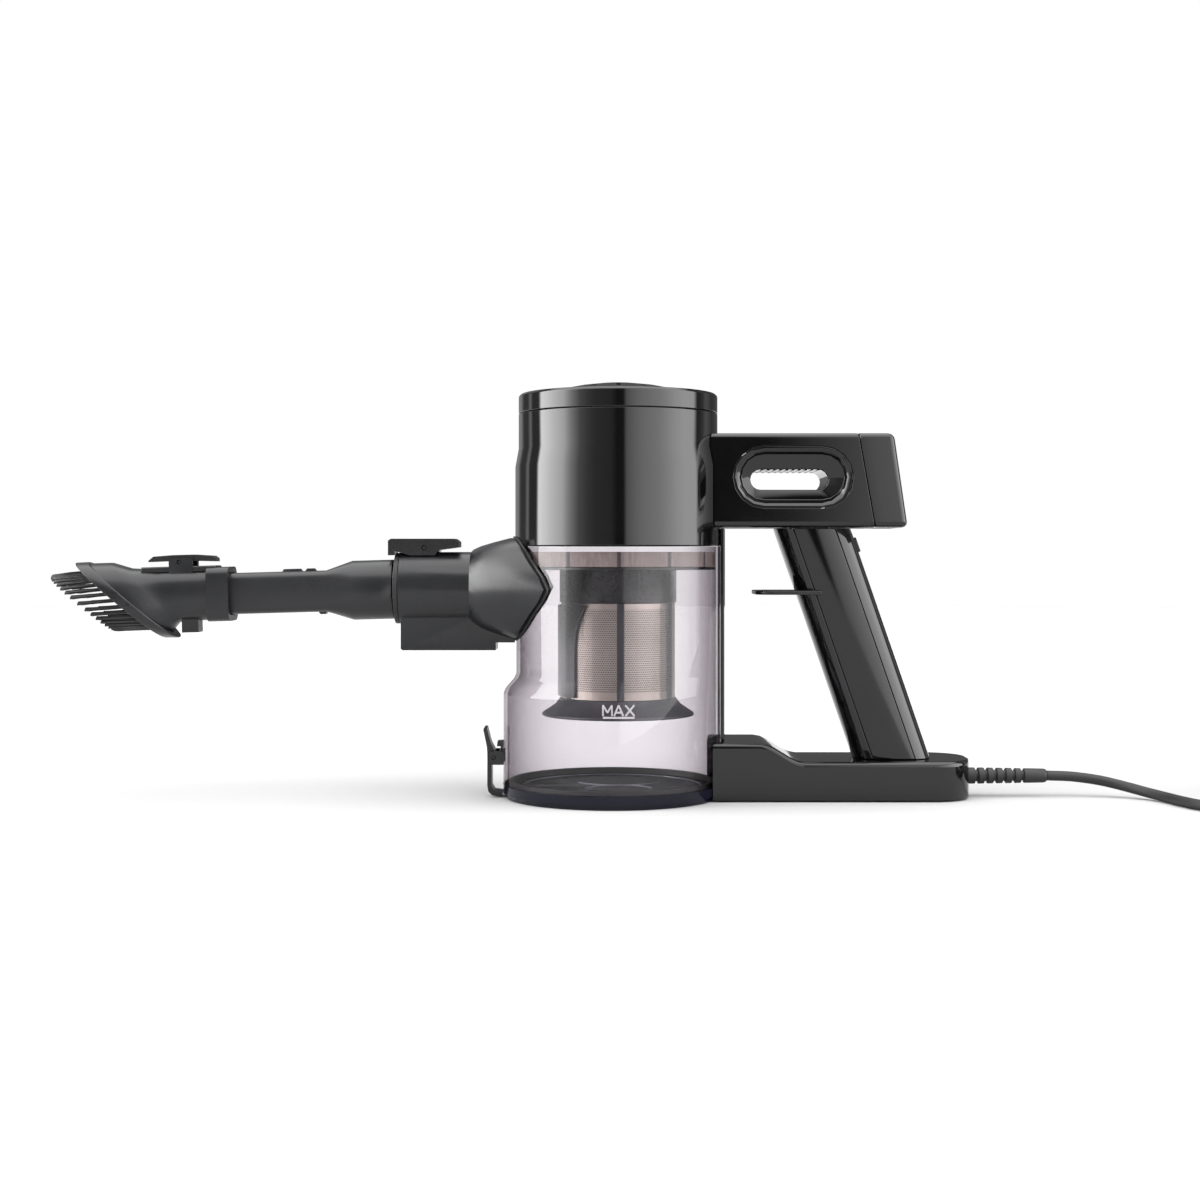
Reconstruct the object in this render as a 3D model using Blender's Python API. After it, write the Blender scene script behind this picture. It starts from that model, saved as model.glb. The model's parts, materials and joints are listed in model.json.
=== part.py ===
"""Corded cyclone handheld vacuum with a 2-in-1 brush and crevice tool.

Metres, +Z up. The origin is on the bin's axis, at the level that the lid stands on.
+X runs towards the handle and the cord, -X towards the brush.
"""

from math import acos, cos, pi, radians, sin, sqrt

import bmesh
import bpy
from mathutils import Matrix, Vector

# Clearances
GAP = 0.0003
SLIDE_GAP = 0.0005
PIN_GAP = 0.0003
RAIL_GAP = 0.0008

# Overall sizes that the rest is set out from
BIN_TOP = 0.1495
HOUSING_R = 0.0615
NOZZLE_R = 0.0217
CORD_START_X = 0.2571
RELIEF_LENGTH = 0.0482

# Motor housing and cap
HOUSING_BOTTOM = BIN_TOP + GAP
TAPER_LOW = HOUSING_BOTTOM + 0.0472
TAPER_HIGH = TAPER_LOW + 0.011
CAP_SEAM = TAPER_HIGH + 0.021
CAP_RIM = CAP_SEAM + 0.0115
NECK_R = HOUSING_R - 0.002
HOUSING_WALL = 0.0026
DECK_THICK = 0.003
DECK_LEVEL = HOUSING_BOTTOM + 0.0032
DECK_BORE = 0.022
GRILLE_R = 0.0405
GRILLE_RISE = 0.0058
GRILLE_SLOTS = 12

# Motor
SHAFT_R = 0.004
ARMATURE_R = 0.0243
FIELD_BORE = 0.0253
FIELD_R = 0.037
FIELD_BOTTOM = DECK_LEVEL + 0.028
FIELD_TOP = FIELD_BOTTOM + 0.023
BRACKET_THICK = 0.003
IMPELLER_R = 0.040
SHROUD_R = 0.0445
MOUNT_R = SHROUD_R - 0.0015
MOUNT_BORE = MOUNT_R - 0.009
VENT_COUNT = 6
VENT_R = 0.008
VENT_RING_R = FIELD_R + 0.007

# Bin
BIN_R = 0.061
BIN_LOW_R = BIN_R + 0.0038
BIN_WALL = 0.0024
BIN_BOTTOM = 0.0083
FLARE_LOW = 0.062
FLARE_HIGH = 0.074
INLET_R = 0.017
INLET_LEVEL = BIN_TOP - 0.0249

# Separator inside the bin
PLATE_LEVEL = BIN_TOP - 0.0137
PLATE_THICK = 0.0015
COLLAR_R = 0.035
COLLAR_WALL = 0.0015
COLLAR_BOTTOM = PLATE_LEVEL - 0.0195
MESH_R = 0.0341
MESH_BOTTOM = 0.0596
MESH_WALL = 0.001
PLATE_BORE = 0.031
BAND_BORE = PLATE_BORE - 0.001
CONE_TOP_R = BAND_BORE
CONE_LOW_R = 0.014
CONE_WALL = 0.0015
CONE_BOTTOM = MESH_BOTTOM + 0.0024
SKIRT_R = 0.0454
SKIRT_BOTTOM = 0.0488
BAFFLE_THICK = 0.0012
BAFFLE_HALF_ANGLE = radians(44)
BAFFLE_TOP_HALF_ANGLE = radians(58)

# Lid and its hinge
LID_RIM_R = BIN_LOW_R + 0.0002
LID_FOOT_R = LID_RIM_R - 0.0018
LID_RIM_TOP = 0.008
LID_FLOOR = 0.0064
LID_STEP = 0.0028
LID_BOSS_R = 0.016
HINGE_Z = 0.0045
HINGE_OFFSET = 0.0028
KNUCKLE_R = 0.0026
HINGE_PIN_R = 0.0012
KNUCKLE_HALF = 0.0072
EAR_THICK = 0.0035

# Bin latch
LATCH_Z = 0.024
LATCH_OFFSET = 0.0054
LATCH_PIN_R = 0.001
LATCH_HALF = 0.0072
LATCH_TOP = 0.0418
LATCH_FOOT = 0.0007
STRAP_THICK = 0.0026

# Rear arm, its slot and end cap
ARM_HALF = 0.026
ARM_LOW = HOUSING_BOTTOM + 0.0108
ARM_HIGH = ARM_LOW + 0.0554
ARM_WALL = 0.0024
ARM_ROUND = 0.0035
SEAM_TOP_X = HOUSING_R + 0.079
SEAM_LOW_X = HOUSING_R + 0.0888
END_TOP_X = SEAM_TOP_X + 0.0214
END_LOW_X = SEAM_LOW_X + 0.0197
SEAM_GAP = 0.0005
SLOT_X = HOUSING_R + 0.0391
SLOT_Z = ARM_LOW + 0.0283
SLOT_R = 0.006
SLOT_STRAIGHT = 0.0169
SLOT_FACE = 0.021
BEZEL_X = SLOT_X + 0.002
BEZEL_Z = SLOT_Z + 0.0013
BEZEL_R = 0.0181
BEZEL_STEP_R = 0.0142
BEZEL_BACK = 0.0018
LINER_WALL = 0.0014

# Grip
GRIP_TOP = ARM_LOW - GAP
GRIP_HALF = 0.017
GRIP_FRONT_TOP_X = HOUSING_R + 0.0317
GRIP_FRONT_LOW_X = GRIP_FRONT_TOP_X + 0.0473
GRIP_DEPTH_X = 0.0458
GRIP_WALL = 0.0032
FRONT_STRIP = 0.010
REAR_STRIP = 0.0105
REST_LEVEL = GRIP_TOP - 0.0381
REST_THICK = 0.0024
REST_REACH = GRIP_FRONT_TOP_X - 0.0122
REST_BACK = GRIP_FRONT_TOP_X + 0.0268
REST_HALF = 0.0192
BUTTON_Z = GRIP_TOP - 0.0098
BUTTON_HALF = 0.005
BUTTON_LENGTH = 0.009
BUTTON_PROUD = 0.0012
BUTTON_TRAVEL = 0.0015

# Base arm
BASE_HALF = 0.029
BASE_LIFT = 0.001
BASE_HIGH = 0.0343
BASE_LOW = 0.0234
BASE_SLOPE_X = 0.083
BASE_SLOPE_END_X = BASE_SLOPE_X + 0.026
BASE_END_X = CORD_START_X - GAP - RELIEF_LENGTH
BASE_END_R = 0.022
BASE_WALL = 0.0026
BASE_ROUND = 0.003
FOOT_LENGTH = 0.010
FOOT_X = BASE_END_X - 0.0266
HINGE_POCKET_HALF = 0.0175
HINGE_POCKET_TOP = BIN_BOTTOM + 0.0092
HINGE_POCKET_DEPTH = 0.0072
LID_SWEEP_TOP = 0.0026
INNER_LEAD_R = 0.0022
LEAD_HOLE_R = INNER_LEAD_R + 0.0018

# Rear rail
RAIL_HALF = 0.012
RAIL_THICK = 0.0022
RAIL_LOW = BASE_HIGH + GAP
RAIL_HIGH = ARM_LOW - GAP

# Cord
CORD_R = 0.003
CORD_AXIS_Z = 0.0122
RELIEF_R = 0.0049
RELIEF_TIP_R = 0.0042
RELIEF_END_X = CORD_START_X - GAP
COIL_X = 0.440
COIL_Y = -0.012
COIL_MID_R = 0.039
COIL_HALF_WIDTH = 0.0122
COIL_HEIGHT = 0.0302
COIL_ROUND = 0.003
TIE_HALF = 0.006
TIE_THICK = 0.0012
CORD_ROUTE = (
    (CORD_START_X, 0.0, 0.0122), (0.272, 0.0, 0.0116), (0.288, -0.002, 0.0096), (0.302, -0.007, 0.0066),
    (0.313, -0.017, 0.0041), (0.320, -0.031, 0.0031), (0.324, -0.048, 0.00305), (0.330, -0.064, 0.00305),
    (0.342, -0.077, 0.00305), (0.358, -0.083, 0.00305), (0.378, -0.080, 0.00305), (0.398, -0.072, 0.00305),
    (0.4185, -0.0645, 0.00305),
)
TAIL_ROUTE = (
    (0.4926, 0.0085, 0.0078), (0.4915, 0.016, 0.0080), (0.4892, 0.0235, 0.0082), (0.4885, 0.0285, 0.0082),
    (0.4885, 0.032, 0.0082),
)
PLUG_START = TAIL_ROUTE[-1][1] + GAP
PLUG_X = TAIL_ROUTE[-1][0]
PLUG_Z = TAIL_ROUTE[-1][2]
PLUG_LENGTH = 0.036
PLUG_PIN_R = 0.002
PLUG_PIN_LENGTH = 0.019
PLUG_PIN_SPREAD = 0.0093

# Inlet nozzle
NOZZLE_BORE = 0.016
NOZZLE_MOUTH_X = -0.130
NOZZLE_NECK_X = -0.088
SADDLE_HALF_ARC = 0.0546
SADDLE_TOP_HALF_ARC = 0.0219
SADDLE_HALF_HEIGHT = 0.0301
SADDLE_SHARPNESS = 10
BORE_FRONT = -0.16
BORE_BACK = -BIN_R / 2
GASKET_THICK = 0.001
GASKET_PROUD = 1.035
BOX_BOTTOM = INLET_LEVEL - 0.0366
BOX_STEP_BOTTOM = INLET_LEVEL - 0.032
BOX_FRONT_X = -0.129
BOX_REAR_X = -0.0726
BOX_STEP_X = -0.061
BOX_HALF = 0.013
MOUTH_RING_X = -0.1330
MOUTH_RING_R = NOZZLE_R - 0.0005

# Release button on the nozzle
RELEASE_X = -0.1154
RELEASE_Z = INLET_LEVEL + NOZZLE_R + 0.0025
RELEASE_PIN_R = 0.0013
RELEASE_FRONT_X = -0.1368
RELEASE_REAR_X = -0.0948
RELEASE_TOP = RELEASE_Z + 0.0054
RELEASE_HALF = 0.011
RELEASE_CHEEK = 0.0026
BOSS_HALF = 0.0055

# Crevice tool, along its own axis from the nozzle's mouth
TOOL_X = -0.1340
TOOL_Z = INLET_LEVEL - 0.0005
TOOL_DROOP = radians(1.6)
SPIGOT_R = 0.0152
SPIGOT_LENGTH = 0.028
TOOL_WALL = 0.002
ROUND_R = 0.0184
ROUND_END = -0.024
CONE_END = -0.040
FLAT_HALF_HEIGHT = 0.0123
FLAT_HALF_WIDTH = 0.0105
FLAT_END = -0.150
DETENT_TOP = ((-0.0672, -0.0546), (-0.0534, -0.0462))
DETENT_LOW = (-0.046, -0.0394)
DETENT_RISE = 0.0015

# Brush body, on the tool's axis
SLEEVE_HALF_HEIGHT = 0.0156
SLEEVE_HALF_WIDTH = 0.0138
SLEEVE_FRONT = -0.135
COLLAR_FRONT = -0.1092
SLEEVE_REAR = -0.0972
COLLAR_PROUD = 0.0006
RIM_TOP = (-0.1897, 0.0205)
RIM_LOW = (-0.1386, -0.0247)
RIM_HALF_WIDTH = 0.019
RIM_BACK_TOP = (-0.1685, 0.0205)
RIM_BACK_LOW = (-0.1335, -0.0212)
RIM_SECTION = 0.86
STOP_BLOCK_FRONT = -0.1269
STOP_BLOCK_REAR = -0.117
STOP_BLOCK_HALF = 0.006
STOP_BLOCK_DROP = 0.0068
BRISTLE_COUNT = 36
BRISTLE_REACH = 0.0222
BRISTLE_SHRINK = 0.93
BRISTLE_BASE_DEPTH = 0.003
BRISTLE_STRIP = 0.05
LATCH_BASE_FRONT = -0.150
LATCH_BASE_REAR = -0.105
LATCH_BASE_TOP = 0.0172
LATCH_BASE_HALF = 0.009
LEVER_FRONT = -0.1458
LEVER_REAR = -0.1056
LEVER_PIVOT_X = -0.127
LEVER_PIVOT_Z = 0.0198
LEVER_TOP = 0.0240
LEVER_HALF = 0.006
LEVER_PIN_R = 0.001

SHARP = radians(34)
ROUND_STEPS = 36
SMALL_STEPS = 16


# ---------- helpers ----------

def clear_scene():
    for obj in list(bpy.data.objects):
        bpy.data.objects.remove(obj, do_unlink=True)


def material(name, color, roughness, metallic=0.0, alpha=1.0):
    mat = bpy.data.materials.new(name)
    mat.use_nodes = True
    shader = mat.node_tree.nodes["Principled BSDF"]
    shader.inputs["Base Color"].default_value = (*color, 1.0)
    shader.inputs["Roughness"].default_value = roughness
    shader.inputs["Metallic"].default_value = metallic
    shader.inputs["Alpha"].default_value = alpha
    return mat


def put(name, bm, mat, origin=(0, 0, 0), parent=None):
    """A bmesh in world metres becomes an object whose origin is at the given point."""
    bmesh.ops.recalc_face_normals(bm, faces=bm.faces)
    bm.transform(Matrix.Translation(-Vector(origin)))
    mesh = bpy.data.meshes.new(name)
    bm.to_mesh(mesh)
    bm.free()
    mesh.shade_smooth()
    mesh.set_sharp_from_angle(angle=SHARP)
    if mat:
        mesh.materials.append(mat)
    obj = bpy.data.objects.new(name, mesh)
    obj.location = origin
    obj.parent = parent
    bpy.context.scene.collection.objects.link(obj)
    return obj


def helper(name, bm, parent=None):
    obj = put(name, bm, None, parent=parent)
    obj.hide_render = True
    obj.display_type = "WIRE"
    return obj


def boolean(obj, other, operation="DIFFERENCE"):
    mod = obj.modifiers.new(operation.title(), "BOOLEAN")
    mod.operation = operation
    mod.object = other
    mod.solver = "EXACT"


def cut(obj, *cutters):
    for cutter in cutters:
        boolean(obj, cutter)


def skin(rings, loop=False):
    """Faces between rings of equal length. A loop joins the last ring to the first, else both get a cap."""
    bm = bmesh.new()
    rows = [[bm.verts.new(p) for p in ring] for ring in rings]
    pairs = list(zip(rows, rows[1:]))
    if loop:
        pairs.append((rows[-1], rows[0]))
    for low, high in pairs:
        for i in range(len(low)):
            j = (i + 1) % len(low)
            bm.faces.new((low[i], low[j], high[j], high[i]))
    if not loop:
        bm.faces.new(list(reversed(rows[0])))
        bm.faces.new(rows[-1])
    return bm


def circle(r, h, steps, axis="Z", centre=(0, 0, 0)):
    ring = []
    for i in range(steps):
        a = 2 * pi * i / steps
        u, v = r * cos(a), r * sin(a)
        local = {"Z": (u, v, h), "X": (h, u, v), "Y": (v, h, u)}[axis]
        ring.append(Vector(centre) + Vector(local))
    return ring


def turned(profile, steps=ROUND_STEPS, axis="Z", centre=(0, 0, 0), hollow=True):
    """A profile of (radius, height) turned about an axis: a closed loop for a ring, open for a solid."""
    return skin([circle(r, h, steps, axis, centre) for r, h in profile], loop=hollow)


def ring_profile(inner, outer, low, high):
    return [(outer, low), (outer, high), (inner, high), (inner, low)]


def rod(r, low, high, steps=SMALL_STEPS, axis="Z", centre=(0, 0, 0)):
    return turned([(r, low), (r, high)], steps, axis, centre, hollow=False)


def prism(outline, low, high, axis="Y"):
    """A flat outline extruded along an axis. Axis Y takes (x, z), Z takes (x, y), X takes (y, z)."""
    place = {
        "Y": lambda u, v, h: Vector((u, h, v)),
        "Z": lambda u, v, h: Vector((u, v, h)),
        "X": lambda u, v, h: Vector((h, u, v)),
    }[axis]
    return skin([[place(u, v, h) for u, v in outline] for h in (low, high)])


def box(x0, x1, y0, y1, z0, z1):
    return prism([(x0, z0), (x1, z0), (x1, z1), (x0, z1)], y0, y1)


def arc(cx, cy, r, start, end, steps):
    """Points of an arc from start to end, in degrees."""
    angles = [radians(start + (end - start) * i / steps) for i in range(steps + 1)]
    return [(cx + r * cos(a), cy + r * sin(a)) for a in angles]


def round_rect(half_w, half_h, r, steps=3):
    corners = ((1, 1, 0), (-1, 1, 90), (-1, -1, 180), (1, -1, 270))
    points = []
    for sx, sy, start in corners:
        points += arc(sx * (half_w - r), sy * (half_h - r), r, start, start + 90, steps)
    return points


def stadium(cx, cz, straight, r, steps=8):
    return arc(cx + straight, cz, r, -90, 90, steps) + arc(cx - straight, cz, r, 90, 270, steps)


def smooth_path(route, per_span):
    """Catmull-Rom curve through the route's points."""
    pts = [Vector(p) for p in route]
    pts = [2 * pts[0] - pts[1]] + pts + [2 * pts[-1] - pts[-2]]
    out = []
    for a, b, c, d in zip(pts, pts[1:], pts[2:], pts[3:]):
        for i in range(per_span):
            t = i / per_span
            out.append(0.5 * ((2 * b) + (c - a) * t + (2 * a - 5 * b + 4 * c - d) * t**2
                              + (3 * b - a - 3 * c + d) * t**3))
    out.append(pts[-2])
    return out


def tube(name, points, r, mat, resolution=2):
    curve = bpy.data.curves.new(name, "CURVE")
    curve.dimensions = "3D"
    curve.bevel_depth = r
    curve.bevel_resolution = resolution
    curve.use_fill_caps = True
    spline = curve.splines.new("POLY")
    spline.points.add(len(points) - 1)
    for point, co in zip(spline.points, points):
        point.co = (*co, 1)
    curve.materials.append(mat)
    obj = bpy.data.objects.new(name, curve)
    bpy.context.scene.collection.objects.link(obj)
    return obj


def coil_spring(name, centre, r, wire, half, turns, mat, parent=None):
    """A helical spring wound about the Y axis through a centre."""
    per_turn, sides = 9, 5
    rings = []
    for i in range(int(turns * per_turn) + 1):
        a = 2 * pi * i / per_turn
        y = -half + 2 * half * i / (turns * per_turn)
        out = Vector((cos(a), 0, sin(a)))
        mid = Vector(centre) + r * out + Vector((0, y, 0))
        spokes = [(cos(2 * pi * k / sides), sin(2 * pi * k / sides)) for k in range(sides)]
        rings.append([mid + wire * (u * out + v * Vector((0, 1, 0))) for u, v in spokes])
    return put(name, skin(rings), mat, origin=centre, parent=parent)


def bin_centre(r):
    """The flared part is pushed forwards, so that the rear side runs straight down along the rail."""
    return (BIN_R - r, 0, 0)


def bin_radius(z):
    if z <= FLARE_LOW:
        return BIN_LOW_R
    if z >= FLARE_HIGH:
        return BIN_R
    t = (z - FLARE_LOW) / (FLARE_HIGH - FLARE_LOW)
    return BIN_LOW_R + (BIN_R - BIN_LOW_R) * t * t * (3 - 2 * t)


def bin_ring(z, offset, steps):
    r = bin_radius(z)
    return circle(r + offset, z, steps, centre=bin_centre(r))


def bin_levels():
    flare = FLARE_HIGH - FLARE_LOW
    return [FLARE_LOW] + [FLARE_LOW + flare * k for k in (0.25, 0.5, 0.75)] + [FLARE_HIGH]


def bin_envelope(offset, low, high):
    levels = [low] + bin_levels() + [high]
    return skin([bin_ring(z, offset, 2 * ROUND_STEPS) for z in levels])


def body_envelope(offset):
    """The bin's outside, then the slightly wider housing above it, grown by an offset."""
    step = BIN_TOP - 0.0015
    around = 2 * ROUND_STEPS
    rings = [bin_ring(z, offset, around) for z in [FLARE_LOW - 0.022] + bin_levels() + [step]]
    rings += [circle(HOUSING_R + offset, z, around) for z in (BIN_TOP - 0.0003, HOUSING_BOTTOM + 0.025)]
    return skin(rings)


def housing_envelope(offset, low):
    profile = [(HOUSING_R, low), (HOUSING_R, TAPER_LOW), (NECK_R, TAPER_HIGH), (NECK_R, CAP_RIM + 0.02)]
    return turned([(r + offset, z) for r, z in profile], 2 * ROUND_STEPS, hollow=False)


# ---------- motor housing ----------

def make_housing(mats):
    inner = HOUSING_R - HOUSING_WALL
    neck_inner = NECK_R - HOUSING_WALL
    deck_top = DECK_LEVEL + DECK_THICK
    shell = [
        (HOUSING_R, HOUSING_BOTTOM), (HOUSING_R, TAPER_LOW), (NECK_R, TAPER_HIGH), (NECK_R, CAP_SEAM - GAP),
        (neck_inner, CAP_SEAM - GAP), (neck_inner, deck_top), (DECK_BORE, deck_top), (DECK_BORE, DECK_LEVEL),
        (inner, DECK_LEVEL), (inner, HOUSING_BOTTOM),
    ]
    put("motor_housing", turned(shell), mats["gloss"])

    crown = CAP_RIM + 0.0012
    cap = [
        (NECK_R, CAP_SEAM), (NECK_R, CAP_RIM - 0.0014), (NECK_R - 0.0014, CAP_RIM),
        (GRILLE_R + GAP, crown), (GRILLE_R + GAP, crown - 0.003), (neck_inner, CAP_RIM - 0.0028),
        (neck_inner, CAP_SEAM),
    ]
    put("top_cap", turned(cap), mats["gloss"])

    grille = put("exhaust_grille", dome_plate(crown), mats["satin"])
    for i in range(GRILLE_SLOTS):
        slot = helper(f"grille_cutter_{i}", box(0.014, 0.034, -0.0012, 0.0012, crown - 0.01, crown + 0.02))
        slot.rotation_euler.z = 2 * pi * i / GRILLE_SLOTS
        cut(grille, slot)

    filter_inner = DECK_BORE + 0.010
    pleats = ring_profile(filter_inner, neck_inner - 0.0015, CAP_SEAM - 0.013, CAP_SEAM - 0.002)
    put("exhaust_filter", turned(pleats, 36), mats["paper"])


def dome_plate(crown):
    """A domed disc of even thickness, with a step at its rim."""
    shares = (0.85, 0.6, 0.3)
    top = [(GRILLE_R * k, crown + GRILLE_RISE * (1 - k * k)) for k in shares]
    low = [(r, z - 0.002) for r, z in reversed(top)]
    return turned(low + [(GRILLE_R, crown - 0.002), (GRILLE_R, crown)] + top, 36, hollow=False)


# ---------- motor ----------

def make_motor(mats):
    deck = DECK_LEVEL + DECK_THICK
    mount_top = deck + 0.004
    put("motor_mount", turned(ring_profile(MOUNT_BORE, MOUNT_R, deck + GAP, mount_top), 32), mats["rubber"])

    shroud_floor = mount_top + GAP
    shroud_top = FIELD_BOTTOM - 0.003
    shroud_inner = SHROUD_R - 0.0015
    shroud = [
        (SHROUD_R, shroud_floor), (SHROUD_R, shroud_top), (shroud_inner, shroud_top),
        (shroud_inner, shroud_floor + 0.0015), (DECK_BORE, shroud_floor + 0.0015), (DECK_BORE, shroud_floor),
    ]
    put("fan_shroud", turned(shroud, 32), mats["satin"])

    disc_top = shroud_floor + 0.0045
    wheel = put("impeller", turned(ring_profile(SHAFT_R + GAP, IMPELLER_R, disc_top - 0.0015, disc_top), 32),
                mats["steel"])
    vanes = helper("impeller_vanes", prism(vane_outline(8), disc_top - 0.0008, disc_top + 0.0075, "Z"))
    boolean(wheel, vanes, "UNION")
    bore = helper("impeller_bore", rod(SHAFT_R + GAP, disc_top - 0.01, disc_top + 0.02))
    cut(wheel, bore)

    put("motor_shaft", rod(SHAFT_R, shroud_floor + 0.001, FIELD_TOP + 0.008), mats["steel"])
    armature = prism(gear_outline(12), FIELD_BOTTOM + 0.002, FIELD_TOP - 0.002, "Z")
    drum = put("armature", armature, mats["copper"])
    cut(drum, helper("armature_bore", rod(SHAFT_R + GAP, FIELD_BOTTOM, FIELD_TOP)))
    put("motor_field", turned(ring_profile(FIELD_BORE, FIELD_R, FIELD_BOTTOM, FIELD_TOP), 32), mats["steel"])

    bracket_low = FIELD_TOP + GAP
    bracket_top = bracket_low + BRACKET_THICK
    rim = NECK_R - HOUSING_WALL - GAP
    bracket = put("motor_bracket", turned(ring_profile(SHAFT_R + GAP, rim, bracket_low, bracket_top), 36),
                  mats["satin"])
    for i in range(VENT_COUNT):
        a = 2 * pi * (i + 0.5) / VENT_COUNT
        centre = (VENT_RING_R * cos(a), VENT_RING_R * sin(a), 0)
        vent = rod(VENT_R, bracket_low - 0.01, bracket_top + 0.01, 10, centre=centre)
        cut(bracket, helper(f"bracket_vent_{i}", vent))


def gear_outline(teeth):
    points = []
    for i in range(teeth):
        for share, r in ((0.0, 0.82), (0.22, 0.82), (0.25, 1.0), (0.97, 1.0)):
            a = 2 * pi * (i + share) / teeth
            points.append((ARMATURE_R * r * cos(a), ARMATURE_R * r * sin(a)))
    return points


def vane_outline(count):
    hub = SHAFT_R + 0.005
    tip = IMPELLER_R - 0.001
    points = []
    for i in range(count):
        a = 2 * pi * i / count
        for r, shift in ((hub, -0.0012), (tip, -0.0012), (tip, 0.0), (hub, 0.0)):
            lean = 0.5 * (r - hub) / tip
            u, v = cos(a + lean), sin(a + lean)
            points.append((r * u - shift * v, r * v + shift * u))
    return points


# ---------- dust bin and separator ----------

def make_bin(mats):
    levels = [BIN_BOTTOM] + bin_levels() + [BIN_TOP]
    outer = [bin_ring(z, 0, ROUND_STEPS) for z in levels]
    inner = [bin_ring(z, -BIN_WALL, ROUND_STEPS) for z in reversed(levels)]
    shell = put("bin_body", skin(outer + inner, loop=True), mats["clear"])
    bore = rod(INLET_R, -BIN_R - 0.014, -BIN_R / 2, 24, axis="X", centre=(0, 0, INLET_LEVEL))
    cut(shell, helper("bin_inlet_cutter", bore))
    pin_x = hinge_x()
    left = BIN_R + 0.0004
    wall = BIN_R - BIN_WALL / 2
    ear = [(left, HINGE_Z), (left, BIN_BOTTOM + GAP), (wall, BIN_BOTTOM + 0.0006), (wall, 0.016),
           (BIN_R + 0.0003, 0.016)]
    ear += arc(pin_x, HINGE_Z, KNUCKLE_R, 20, -180, 8)
    for name, side in (("a", -1), ("b", 1)):
        near, far = sorted((side * (KNUCKLE_HALF + PIN_GAP), side * (KNUCKLE_HALF + PIN_GAP + EAR_THICK)))
        boolean(shell, helper(f"bin_ear_{name}", prism(ear, near, far)), "UNION")
    cut(shell, helper("bin_pin_cutter", hinge_bore()))

    seal = ring_profile(BIN_R - 0.007, BIN_R - 0.0033, BIN_TOP + GAP, DECK_LEVEL - GAP)
    put("intake_seal", turned(seal), mats["rubber"])


def hinge_x():
    return BIN_R + HINGE_OFFSET + GAP


def hinge_bore():
    reach = KNUCKLE_HALF + EAR_THICK + 0.002
    return rod(HINGE_PIN_R + PIN_GAP, -reach, reach, 12, axis="Y", centre=(hinge_x(), 0, HINGE_Z))


def make_separator(mats):
    inside = BIN_R - BIN_WALL - GAP
    plate_top = PLATE_LEVEL + PLATE_THICK
    collar_in = COLLAR_R - COLLAR_WALL
    plate = [(COLLAR_R, COLLAR_BOTTOM), (COLLAR_R, PLATE_LEVEL), (inside, PLATE_LEVEL), (inside, plate_top),
             (PLATE_BORE, plate_top), (PLATE_BORE, PLATE_LEVEL), (collar_in, PLATE_LEVEL),
             (collar_in, COLLAR_BOTTOM)]
    put("separator_plate", turned(plate), mats["grey"])
    band = ring_profile(BAND_BORE, inside - 0.0004, plate_top + GAP, BIN_TOP - 0.0032)
    put("filter_band", turned(band), mats["paper"])
    mesh = ring_profile(MESH_R - MESH_WALL, MESH_R, MESH_BOTTOM, COLLAR_BOTTOM - GAP)
    put("mesh_shroud", turned(mesh, 40), mats["steel"])
    cone_top = PLATE_LEVEL - GAP
    cone = [(CONE_TOP_R, cone_top), (CONE_LOW_R, CONE_BOTTOM), (CONE_LOW_R - CONE_WALL, CONE_BOTTOM),
            (CONE_TOP_R - CONE_WALL, cone_top)]
    put("cyclone_cone", turned(cone, 24), mats["grey"])

    top = MESH_BOTTOM - GAP
    hub = CONE_LOW_R + 0.0005
    skirt = [
        (MESH_R + 0.0006, top), (MESH_R + 0.0034, top - 0.0038), (SKIRT_R, SKIRT_BOTTOM + 0.0014),
        (SKIRT_R, SKIRT_BOTTOM), (SKIRT_R - 0.003, SKIRT_BOTTOM), (MESH_R - 0.0001, top - 0.0058),
        (hub, top - 0.002), (hub, top),
    ]
    put("skirt", turned(skirt), mats["grey"])

    low, high = MESH_BOTTOM + 0.001, COLLAR_BOTTOM - 0.0015
    sheets = []
    for share in (0.0, 0.55, 0.72, 0.84, 0.93, 1.0):
        rise = max(0.0, (share - 0.55) / 0.45)
        half = BAFFLE_HALF_ANGLE + (BAFFLE_TOP_HALF_ANGLE - BAFFLE_HALF_ANGLE) * rise * rise
        sheets.append(baffle_section(low + (high - low) * share, half))
    put("inlet_baffle", skin(sheets), mats["grey"])


def baffle_section(z, half_angle):
    r = MESH_R + 0.0008
    steps = 10
    angles = [pi - half_angle + 2 * half_angle * i / steps for i in range(steps + 1)]
    inner = [Vector((r * cos(a), r * sin(a), z)) for a in angles]
    outer = [Vector(((r + BAFFLE_THICK) * cos(a), (r + BAFFLE_THICK) * sin(a), z)) for a in reversed(angles)]
    return inner + outer


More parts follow.
